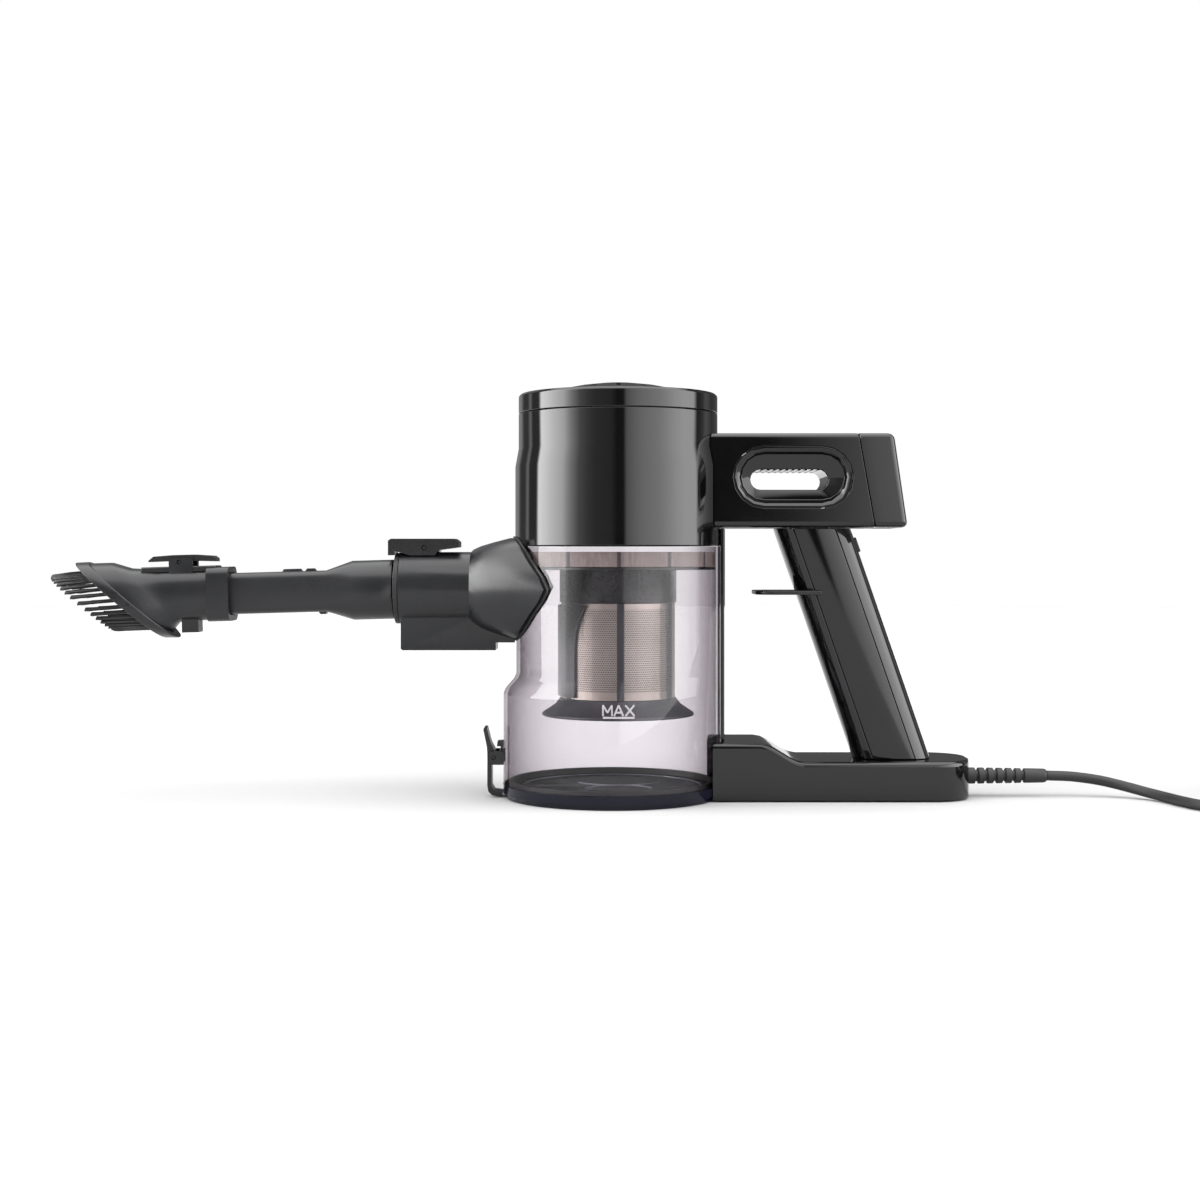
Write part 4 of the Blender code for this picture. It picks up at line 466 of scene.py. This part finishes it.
def push_round(bm, node):
    """Moves each point out from the facet's chord to its circle."""
    for v in bm.verts:
        x = axis_x(node, v.co.z)
        angle = atan2(v.co.y, v.co.x - x)
        within = (angle % FACET) - FACET / 2
        grow = cos(within) / cos(FACET / 2)
        v.co.x = x + (v.co.x - x) * grow
        v.co.y *= grow


def shown(name, bm, finish, body, sharp):
    """The mesh as a piece of the visual model, smooth but for its sharp edges."""
    bmesh.ops.recalc_face_normals(bm, faces=bm.faces)
    for face in bm.faces:
        face.smooth = True
    mesh = bpy.data.meshes.new(name)
    bm.to_mesh(mesh)
    bm.free()
    mesh.set_sharp_from_angle(angle=sharp)
    mesh.materials.append(MATS[finish])
    obj = bpy.data.objects.new(name, mesh)
    bpy.context.scene.collection.objects.link(obj)
    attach(obj, body)
    return obj


def soften(obj, width):
    """Rounds the piece's sharp edges."""
    bevel = obj.modifiers.new("soft_edges", "BEVEL")
    bevel.width = width
    bevel.segments = 2
    bevel.limit_method = "ANGLE"
    bevel.angle_limit = BEVEL_ANGLE
    return bevel


def refined(node, finish):
    """The node's own shape with rounded edges and true circles, as the piece that is shown."""
    bm = bmesh.new()
    bm.from_mesh(frame["nodes"][node].data)
    bmesh.ops.remove_doubles(bm, verts=bm.verts, dist=WELD)
    bmesh.ops.dissolve_limit(bm, angle_limit=FLAT_ANGLE, verts=bm.verts, edges=bm.edges)
    if node in ROUND_ABOUT_Z:
        cut_wedges(bm, node)
        push_round(bm, node)
    obj = shown(node + "_piece", bm, finish, BODY_OF[node], NODE_SHARP)
    if EDGE_OF[finish]:
        soften(obj, EDGE_OF[finish]).harden_normals = True
    if node in FLAT_SIDED:
        obj.modifiers.new("even_shading", "WEIGHTED_NORMAL").keep_sharp = True
    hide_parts(node)
    return obj


# ---------- details that the frame leaves out ----------
def add_skin(bm, rings, closed=False):
    """Faces between rings of equal length, with both ends capped unless the last ring joins the first."""
    rows = [[bm.verts.new(p) for p in ring] for ring in rings]
    for low, high in zip(rows, rows[1:] + (rows[:1] if closed else [])):
        for i in range(len(low)):
            j = (i + 1) % len(low)
            bm.faces.new((low[i], low[j], high[j], high[i]))
    if not closed:
        bm.faces.new(list(reversed(rows[0])))
        bm.faces.new(rows[-1])


def detail(name, bm, finish, body, edge=0.0):
    """A piece made here, with its sharp edges rounded by that much."""
    obj = shown(name, bm, finish, body, DETAIL_SHARP)
    if edge:
        soften(obj, edge)
    return obj


RIB_COUNT = 6
RIB_LOW, RIB_HIGH = 0.0595, 0.1161
RIB_FACING, RIB_HALF = radians(-88), radians(3.6)
# Each corner of a rib's plan: its distance from the axis, and its place across the rib from -1 to 1.
RIB_FOOT_R, RIB_TOP_R = SCREEN_R + 0.0001, SCREEN_R + 0.0009
RIB_PLAN = ((RIB_FOOT_R, -1), (RIB_TOP_R, -0.8), (RIB_TOP_R, 0.8), (RIB_FOOT_R, 1))


def make_screen_ribs():
    """Upright ribs that hold the screen, from the skirt to the collar."""
    bm = bmesh.new()
    for k in range(RIB_COUNT):
        middle = RIB_FACING + 2 * pi * k / RIB_COUNT
        plan = [(r, middle + RIB_HALF * side) for r, side in RIB_PLAN]
        add_skin(bm, [[(r * cos(a), r * sin(a), z) for r, a in plan] for z in (RIB_LOW, RIB_HIGH)])
    detail("screen_ribs", bm, "grey", BODY_OF["mesh_shroud"])


# The skirt's outline as (height, distance from the axis).
SKIRT_LINE = ((0.0502, 0.0454), (0.0555, 0.0375), (0.0593, 0.0347))
MARK_LOW, MARK_HIGH = 0.0516, 0.0572
MARK_LETTER, MARK_SPACE = 0.0052, 0.0013
MARK_STROKE = 0.00095
MARK_UNDER, MARK_OVER = 0.00002, 0.00012
MARK_LINE_DROP = 0.0009
MARK_STEPS = 6
# Each letter's strokes, from and to a place in its own unit square.
MARK_STROKES = {
    "M": (((0, 0), (0, 1)), ((0, 1), (0.5, 0.3)), ((0.5, 0.3), (1, 1)), ((1, 1), (1, 0))),
    "A": (((0, 0), (0.5, 1)), ((0.5, 1), (1, 0)), ((0.2, 0.32), (0.8, 0.32))),
    "X": (((0, 0), (1, 1)), ((0, 1), (1, 0))),
}


def on_skirt(x, z, lift):
    """The point of the skirt's front face at this distance across and this height."""
    r = SKIRT_LINE[-1][1]
    for (z0, r0), (z1, r1) in zip(SKIRT_LINE, SKIRT_LINE[1:]):
        if z0 <= z <= z1:
            r = r0 + (r1 - r0) * (z - z0) / (z1 - z0)
    r += lift
    return Vector((x, -sqrt(r * r - x * x), z + lift))


def add_stroke(bm, start, end):
    """A straight painted line that follows the skirt's face."""
    along = Vector((end[0] - start[0], end[1] - start[1]))
    side = Vector((-along.y, along.x)).normalized() * MARK_STROKE / 2
    rings = []
    for i in range(MARK_STEPS + 1):
        at = Vector(start) + along * i / MARK_STEPS
        left, right = at + side, at - side
        corners = ((left, MARK_UNDER), (right, MARK_UNDER), (right, MARK_OVER), (left, MARK_OVER))
        rings.append([on_skirt(p.x, p.y, lift) for p, lift in corners])
    add_skin(bm, rings)


def make_fill_mark():
    """The generic fill mark on the skirt, three raised letters over a line."""
    bm = bmesh.new()
    width = len(MARK_STROKES) * MARK_LETTER + (len(MARK_STROKES) - 1) * MARK_SPACE
    left = -width / 2
    rise = MARK_HIGH - MARK_LOW
    for k, strokes in enumerate(MARK_STROKES.values()):
        x = left + k * (MARK_LETTER + MARK_SPACE)
        for stroke in strokes:
            start, end = ((x + u * MARK_LETTER, MARK_LOW + v * rise) for u, v in stroke)
            add_stroke(bm, start, end)
    line = MARK_LOW - MARK_LINE_DROP
    add_stroke(bm, (left, line), (-left, line))
    detail("fill_mark", bm, "mark", BODY_OF["skirt"])


LID_FLOOR = 0.0064
# Each arc's centre in y, its radius, the way its middle faces and its reach to each side, both in degrees.
LID_ARCS = ((0.029, 0.029, -90, 56), (-0.021, 0.021, 90, 68))
LID_RING_R = 0.0535
ARC_STEPS, RING_STEPS = 24, 96
RIDGE_PROFILE = ((-0.00035, 0.00002), (-0.000175, 0.0004), (0.000175, 0.0004), (0.00035, 0.00002))


def add_ridge(bm, centre, r, start, end, steps):
    """A low ridge on the lid's floor along a circle, from one angle to another in degrees."""
    closed = end - start >= 360
    rings = []
    for i in range(steps if closed else steps + 1):
        a = radians(start + (end - start) * i / steps)
        rings.append([(centre[0] + (r + u) * cos(a), centre[1] + (r + u) * sin(a), LID_FLOOR + v)
                      for u, v in RIDGE_PROFILE])
    add_skin(bm, rings, closed)


def make_lid_ridges():
    """Two raised curves on the lid's floor, back to back, and a ring round them. Their light grey is painted
    highlight, for the light that their edges catch.
    """
    bm = bmesh.new()
    for y, r, facing, reach in LID_ARCS:
        add_ridge(bm, (0.0, y), r, facing - reach, facing + reach, ARC_STEPS)
    add_ridge(bm, (axis_x("bin_lid", 0), 0.0), LID_RING_R, 0, 360, RING_STEPS)
    detail("lid_ridges", bm, "ridge", BODY_OF["bin_lid"])


SLOT_X, SLOT_TOP = 0.1006, 0.1949
SLOT_STRAIGHT, SLOT_REACH = 0.0169, 0.0185
TOOTH_PITCH = 0.0037
# A tooth's outline from its middle and from the top of the slot, which its root is sunk into.
TOOTH_OUTLINE = ((-0.0011, 0.0002), (-0.0006, -0.0005), (0.0006, -0.0005), (0.0011, 0.0002))
TOOTH_EDGE = 0.0002


def make_slot_teeth():
    """Grip teeth along the top of the slot through the rear arm."""
    bm = bmesh.new()
    for k in range(int(2 * SLOT_STRAIGHT / TOOTH_PITCH) + 1):
        x = SLOT_X - SLOT_STRAIGHT + (k + 0.25) * TOOTH_PITCH
        outline = [(x + u, SLOT_TOP + v) for u, v in TOOTH_OUTLINE]
        add_skin(bm, [[(at_x, y, z) for at_x, z in outline] for y in (-SLOT_REACH, SLOT_REACH)])
    detail("slot_teeth", bm, "gloss", "main_unit", TOOTH_EDGE)


BOOT_START, BOOT_END, BOOT_Z = 0.2089, 0.2568, 0.0122
BOOT_R, BOOT_TIP_R = 0.0049, 0.0042
TAPER_START, TAPER_LENGTH = 0.2129, 0.0419
GROOVES = 6
GROOVE_FIRST, GROOVE_PITCH, GROOVE_HALF, GROOVE_DEPTH = 0.2148, 0.0055, 0.0009, 0.0014
BOOT_EDGE, GROOVE_EDGE = 0.0004, 0.0003
BOOT_STEPS = 32


def boot_r(x):
    """The boot's radius at this place along the cord, apart from its grooves."""
    t = min(1.0, max(0.0, (x - TAPER_START) / TAPER_LENGTH))
    return BOOT_R + (BOOT_TIP_R - BOOT_R) * t


def boot_profile():
    """(place along the cord, radius) from the housing to the tip, in and out of each groove."""
    start_r = boot_r(BOOT_START)
    profile = [(BOOT_START, start_r - BOOT_EDGE), (BOOT_START + BOOT_EDGE, start_r)]
    for k in range(GROOVES):
        x = GROOVE_FIRST + k * GROOVE_PITCH
        r = boot_r(x)
        front, rear = x - GROOVE_HALF, x + GROOVE_HALF
        profile += [(front - GROOVE_EDGE, r), (front, r - GROOVE_EDGE), (front, r - GROOVE_DEPTH)]
        profile += [(rear, r - GROOVE_DEPTH), (rear, r - GROOVE_EDGE), (rear + GROOVE_EDGE, r)]
    profile += [(BOOT_END - 0.002, BOOT_TIP_R), (BOOT_END - 0.0006, BOOT_TIP_R - 0.0003)]
    return profile + [(BOOT_END, BOOT_TIP_R - 0.0009)]


def make_strain_relief():
    """A tapering boot with six flexing grooves."""
    turns = [2 * pi * i / BOOT_STEPS for i in range(BOOT_STEPS)]
    bm = bmesh.new()
    add_skin(bm, [[(x, r * cos(a), BOOT_Z + r * sin(a)) for a in turns] for x, r in boot_profile()])
    obj = detail("strain_relief_piece", bm, "rubber", "main_unit")
    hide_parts("strain_relief")
    return obj


# The brush is drawn on the tool's own axis, as (x, z) from where it starts.
TOOL_X, TOOL_Z, TOOL_DROOP = -0.1340, 0.1241, radians(1.6)
RIM_TOP, RIM_LOW, RIM_HALF_WIDTH = (-0.1897, 0.0205), (-0.1386, -0.0247), 0.019
RIM_ROUNDNESS = 0.85
TUFTS, STRANDS = 36, 16
TUFT_SCALE, TUFT_SHRINK = 0.78, 0.93
TUFT_REACH = Vector((-0.0215, 0, -0.001))
ROOT_SPREAD, TIP_SPREAD = 0.0007, 0.0013
STRAND_TURN, STRAND_TRIM = 2.4, 0.0016
STRAND_RADII = (0.00016, 0.00015, 0.00009)
STRAND_BEND = Vector((0, 0, 0.0003))
STRAND_CORNERS = (Vector((0, 1, 0)), Vector((0, -0.5, 0.87)), Vector((0, -0.5, -0.87)))


def on_tool(p):
    """From the tool's own axis, which droops a little, to the frame."""
    return Vector((TOOL_X + p.x * cos(TOOL_DROOP) - p.z * sin(TOOL_DROOP), p.y,
                   TOOL_Z + p.x * sin(TOOL_DROOP) + p.z * cos(TOOL_DROOP)))


def fuller(value):
    """A sine or cosine drawn a little outwards, which fills out the corners of the oval."""
    return abs(value) ** RIM_ROUNDNESS * (1 if value > 0 else -1)


def rim_point(angle, scale):
    """A point of the brush's slanted oval rim, on the tool's own axis."""
    middle = Vector(((RIM_TOP[0] + RIM_LOW[0]) / 2, 0, (RIM_TOP[1] + RIM_LOW[1]) / 2))
    along = Vector(((RIM_TOP[0] - RIM_LOW[0]) / 2, 0, (RIM_TOP[1] - RIM_LOW[1]) / 2)) * scale
    across = Vector((0, RIM_HALF_WIDTH * scale * fuller(cos(angle)), 0))
    return middle + along * fuller(sin(angle)) + across


def add_strand(bm, root, tip):
    """A thin three-sided strand, a little bent."""
    places = zip((root, (root + tip) / 2 + STRAND_BEND, tip), STRAND_RADII)
    add_skin(bm, [[on_tool(p + corner * r) for corner in STRAND_CORNERS] for p, r in places])


def make_bristles():
    """Fine strands in tufts round the rim. Each has its own lean and length, from a fixed rule."""
    bm = bmesh.new()
    for k in range(TUFTS):
        angle = 2 * pi * k / TUFTS
        root = rim_point(angle, TUFT_SCALE)
        tip = rim_point(angle, TUFT_SCALE * TUFT_SHRINK) + TUFT_REACH
        for s in range(STRANDS):
            lean = Vector((0.0, cos(s * STRAND_TURN), sin(s * STRAND_TURN))) * sqrt((s + 0.5) / STRANDS)
            trim = Vector((STRAND_TRIM * ((s * 7 + k * 3) % 5) / 5, 0, 0))
            add_strand(bm, root + lean * ROOT_SPREAD, tip + lean * TIP_SPREAD + trim)
    detail("bristle_strands", bm, "bristle", BODY_OF["bristle_ring"])


# The lip's section as (distance behind the rim, share of the rim's size), round its outside and back inside.
LIP_SECTION = (
    (0.0004, 1.0), (0.0, 1.012), (0.0006, 1.03), (0.0078, 1.035), (0.0088, 1.01), (0.0088, 0.965),
    (0.0088, 0.9), (0.0004, 0.9),
)
LIP_STEPS = 64
LIP_EDGE = 0.0003


def make_brush_lip():
    """The thick slanted lip round the brush's mouth."""
    bm = bmesh.new()
    turns = [2 * pi * i / LIP_STEPS for i in range(LIP_STEPS)]
    rings = [[on_tool(rim_point(a, scale) + Vector((behind, 0, 0))) for a in turns]
             for behind, scale in LIP_SECTION]
    add_skin(bm, rings, closed=True)
    detail("brush_lip", bm, "matte", BODY_OF["brush_body"], LIP_EDGE)


PLINTH_FRONT, PLINTH_REAR, PLINTH_HALF = -0.150, -0.105, 0.0085
PLINTH_LOW, PLINTH_HIGH, PLINTH_EDGE = 0.0135, 0.0172, 0.0008


def make_latch_plinth():
    """A low raised seat on the sleeve, under the brush's latch lever."""
    plan = ((PLINTH_FRONT, -PLINTH_HALF), (PLINTH_REAR, -PLINTH_HALF),
            (PLINTH_REAR, PLINTH_HALF), (PLINTH_FRONT, PLINTH_HALF))
    bm = bmesh.new()
    add_skin(bm, [[on_tool(Vector((x, y, z))) for x, y in plan] for z in (PLINTH_LOW, PLINTH_HIGH)])
    detail("latch_plinth", bm, "satin", BODY_OF["brush_body"], PLINTH_EDGE)


PLUG_FACE_Y = 0.0685


def on_inner_wall(face):
    """Whether this face of the bin looks towards the bin's axis."""
    x = face.center.x - axis_x("bin_body", face.center.z)
    return face.normal.x * x + face.normal.y * face.center.y < 0


def on_plug_pin(face):
    """Whether this face of the plug is on its bare pins."""
    return face.center.y > PLUG_FACE_Y


def refinish(obj, finish, chosen):
    """Gives the piece's chosen faces another material."""
    obj.data.materials.append(MATS[finish])
    for face in obj.data.polygons:
        if chosen(face):
            face.material_index = 1


cord = make_cord()
PIECES = {node: refined(node, finish) for finish, nodes in FINISH.items() for node in nodes}
make_screen_ribs()
make_fill_mark()
make_lid_ridges()
make_slot_teeth()
make_bristles()
make_brush_lip()
make_latch_plinth()
refinish(PIECES["bin_body"], "clear_inside", on_inner_wall)
refinish(PIECES["plug"], "steel", on_plug_pin)
strain_relief = make_strain_relief()

# ---------- floor and light ----------
FLOOR_R, FLOOR_STEPS = 4.0, 96
FLOOR_DROP = 0.0001


def make_floor():
    """A wide pale disc, just under the object."""
    bm = bmesh.new()
    bmesh.ops.create_circle(bm, cap_ends=True, segments=FLOOR_STEPS, radius=FLOOR_R)
    mesh = bpy.data.meshes.new("floor")
    bm.to_mesh(mesh)
    bm.free()
    n = Nodes("pale_floor")
    mottle = n.noise(3, 3, 0.5)
    tint = n.mix(n.remap(mottle, 0.3, 0.7, 0, 1), (0.41, 0.41, 0.41), (0.43, 0.43, 0.43))
    n.principled(Base_Color=tint, Roughness=0.9, IOR=1.2)
    mesh.materials.append(n.material)
    floor = bpy.data.objects.new("floor", mesh)
    floor.location = (0, 0, -FLOOR_DROP)
    bpy.context.scene.collection.objects.link(floor)


# The studio's light by its bearing round the object, in degrees from -Y and positive towards +X.
PANELS = (
    (-180, 0.12), (-150, 0.6), (-140, 0.15), (-128, 0.2), (-121, 1.2), (-117, 0.2), (-103, 0.25),
    (-99.5, 11.0), (-88, 10.7), (-76, 9.3), (-65, 7.8), (-60, 5.4), (-55, 3.6), (-45, 1.3), (-35, 0.7),
    (-26, 0.42), (-8, 0.32), (-2, 0.06), (6, 0.06), (9, 1.6), (19, 2.5), (28, 3.1), (47, 3.9), (68, 5.6),
    (80, 5.9), (96, 4.9), (102, 0.1), (114, 0.3), (120, 0.6), (135, 0.15), (180, 0.12),
)
PANEL_PEAK = 12.0
# Share of that light at each height, by the sine of the elevation. The ceiling adds its own light.
HEIGHTS = ((-1.0, 0.0), (-0.12, 1.0), (0.62, 1.0), (0.78, 0.12), (1.0, 0.0))
CEILING = ((0.0, 0.0), (0.70, 0.0), (0.80, 3.2), (1.0, 3.6))
BACKDROP = 1.0


def ramp(tree, value, stops):
    """A grey level that runs through the stops, each one its place from 0 to 1 and its level."""
    node = tree.nodes.new("ShaderNodeValToRGB")
    elements = node.color_ramp.elements
    elements[0].position, elements[1].position = stops[0][0], stops[-1][0]
    for at, _ in stops[1:-1]:
        elements.new(at)
    for i, (_, level) in enumerate(stops):
        elements[i].color = (level, level, level, 1)
    tree.links.new(value, node.inputs[0])
    return node.outputs[0]


def make_world():
    """Studio panels and a ceiling light everything. The camera itself sees plain white behind the object."""
    world = bpy.data.worlds.new("studio")
    world.use_nodes = True
    bpy.context.scene.world = world
    tree = world.node_tree
    tree.nodes.clear()

    def compute(operation, a, b):
        node = tree.nodes.new("ShaderNodeMath")
        node.operation = operation
        for socket, value in zip(node.inputs, (a, b)):
            if isinstance(value, bpy.types.NodeSocket):
                tree.links.new(value, socket)
            else:
                socket.default_value = value
        return node.outputs[0]

    parts = tree.nodes.new("ShaderNodeSeparateXYZ")
    tree.links.new(tree.nodes.new("ShaderNodeTexCoord").outputs["Generated"], parts.inputs[0])
    x, y, z = parts.outputs
    bearing = compute("ARCTAN2", x, compute("MULTIPLY", y, -1.0))
    place = compute("ADD", compute("DIVIDE", bearing, 2 * pi), 0.5)
    panels = ramp(tree, place, [(a / 360 + 0.5, level / PANEL_PEAK) for a, level in PANELS])
    height = compute("ADD", compute("MULTIPLY", z, 0.5), 0.5)
    share = ramp(tree, height, [(h / 2 + 0.5, level) for h, level in HEIGHTS])
    ceiling = ramp(tree, height, [(h / 2 + 0.5, level / PANEL_PEAK) for h, level in CEILING])
    light = compute("MULTIPLY", compute("ADD", compute("MULTIPLY", panels, share), ceiling), PANEL_PEAK)
    studio = tree.nodes.new("ShaderNodeBackground")
    studio.inputs["Color"].default_value = (1, 1, 1, 1)
    tree.links.new(light, studio.inputs["Strength"])
    white = tree.nodes.new("ShaderNodeBackground")
    white.inputs["Color"].default_value = (1, 1, 1, 1)
    white.inputs["Strength"].default_value = BACKDROP
    both = tree.nodes.new("ShaderNodeMixShader")
    seen = tree.nodes.new("ShaderNodeLightPath").outputs["Is Camera Ray"]
    for socket, value in zip(both.inputs, (seen, studio.outputs[0], white.outputs[0])):
        tree.links.new(value, socket)
    output = tree.nodes.new("ShaderNodeOutputWorld")
    tree.links.new(both.outputs[0], output.inputs[0])


make_floor()
make_world()
bpy.context.scene.view_settings.view_transform = "Standard"
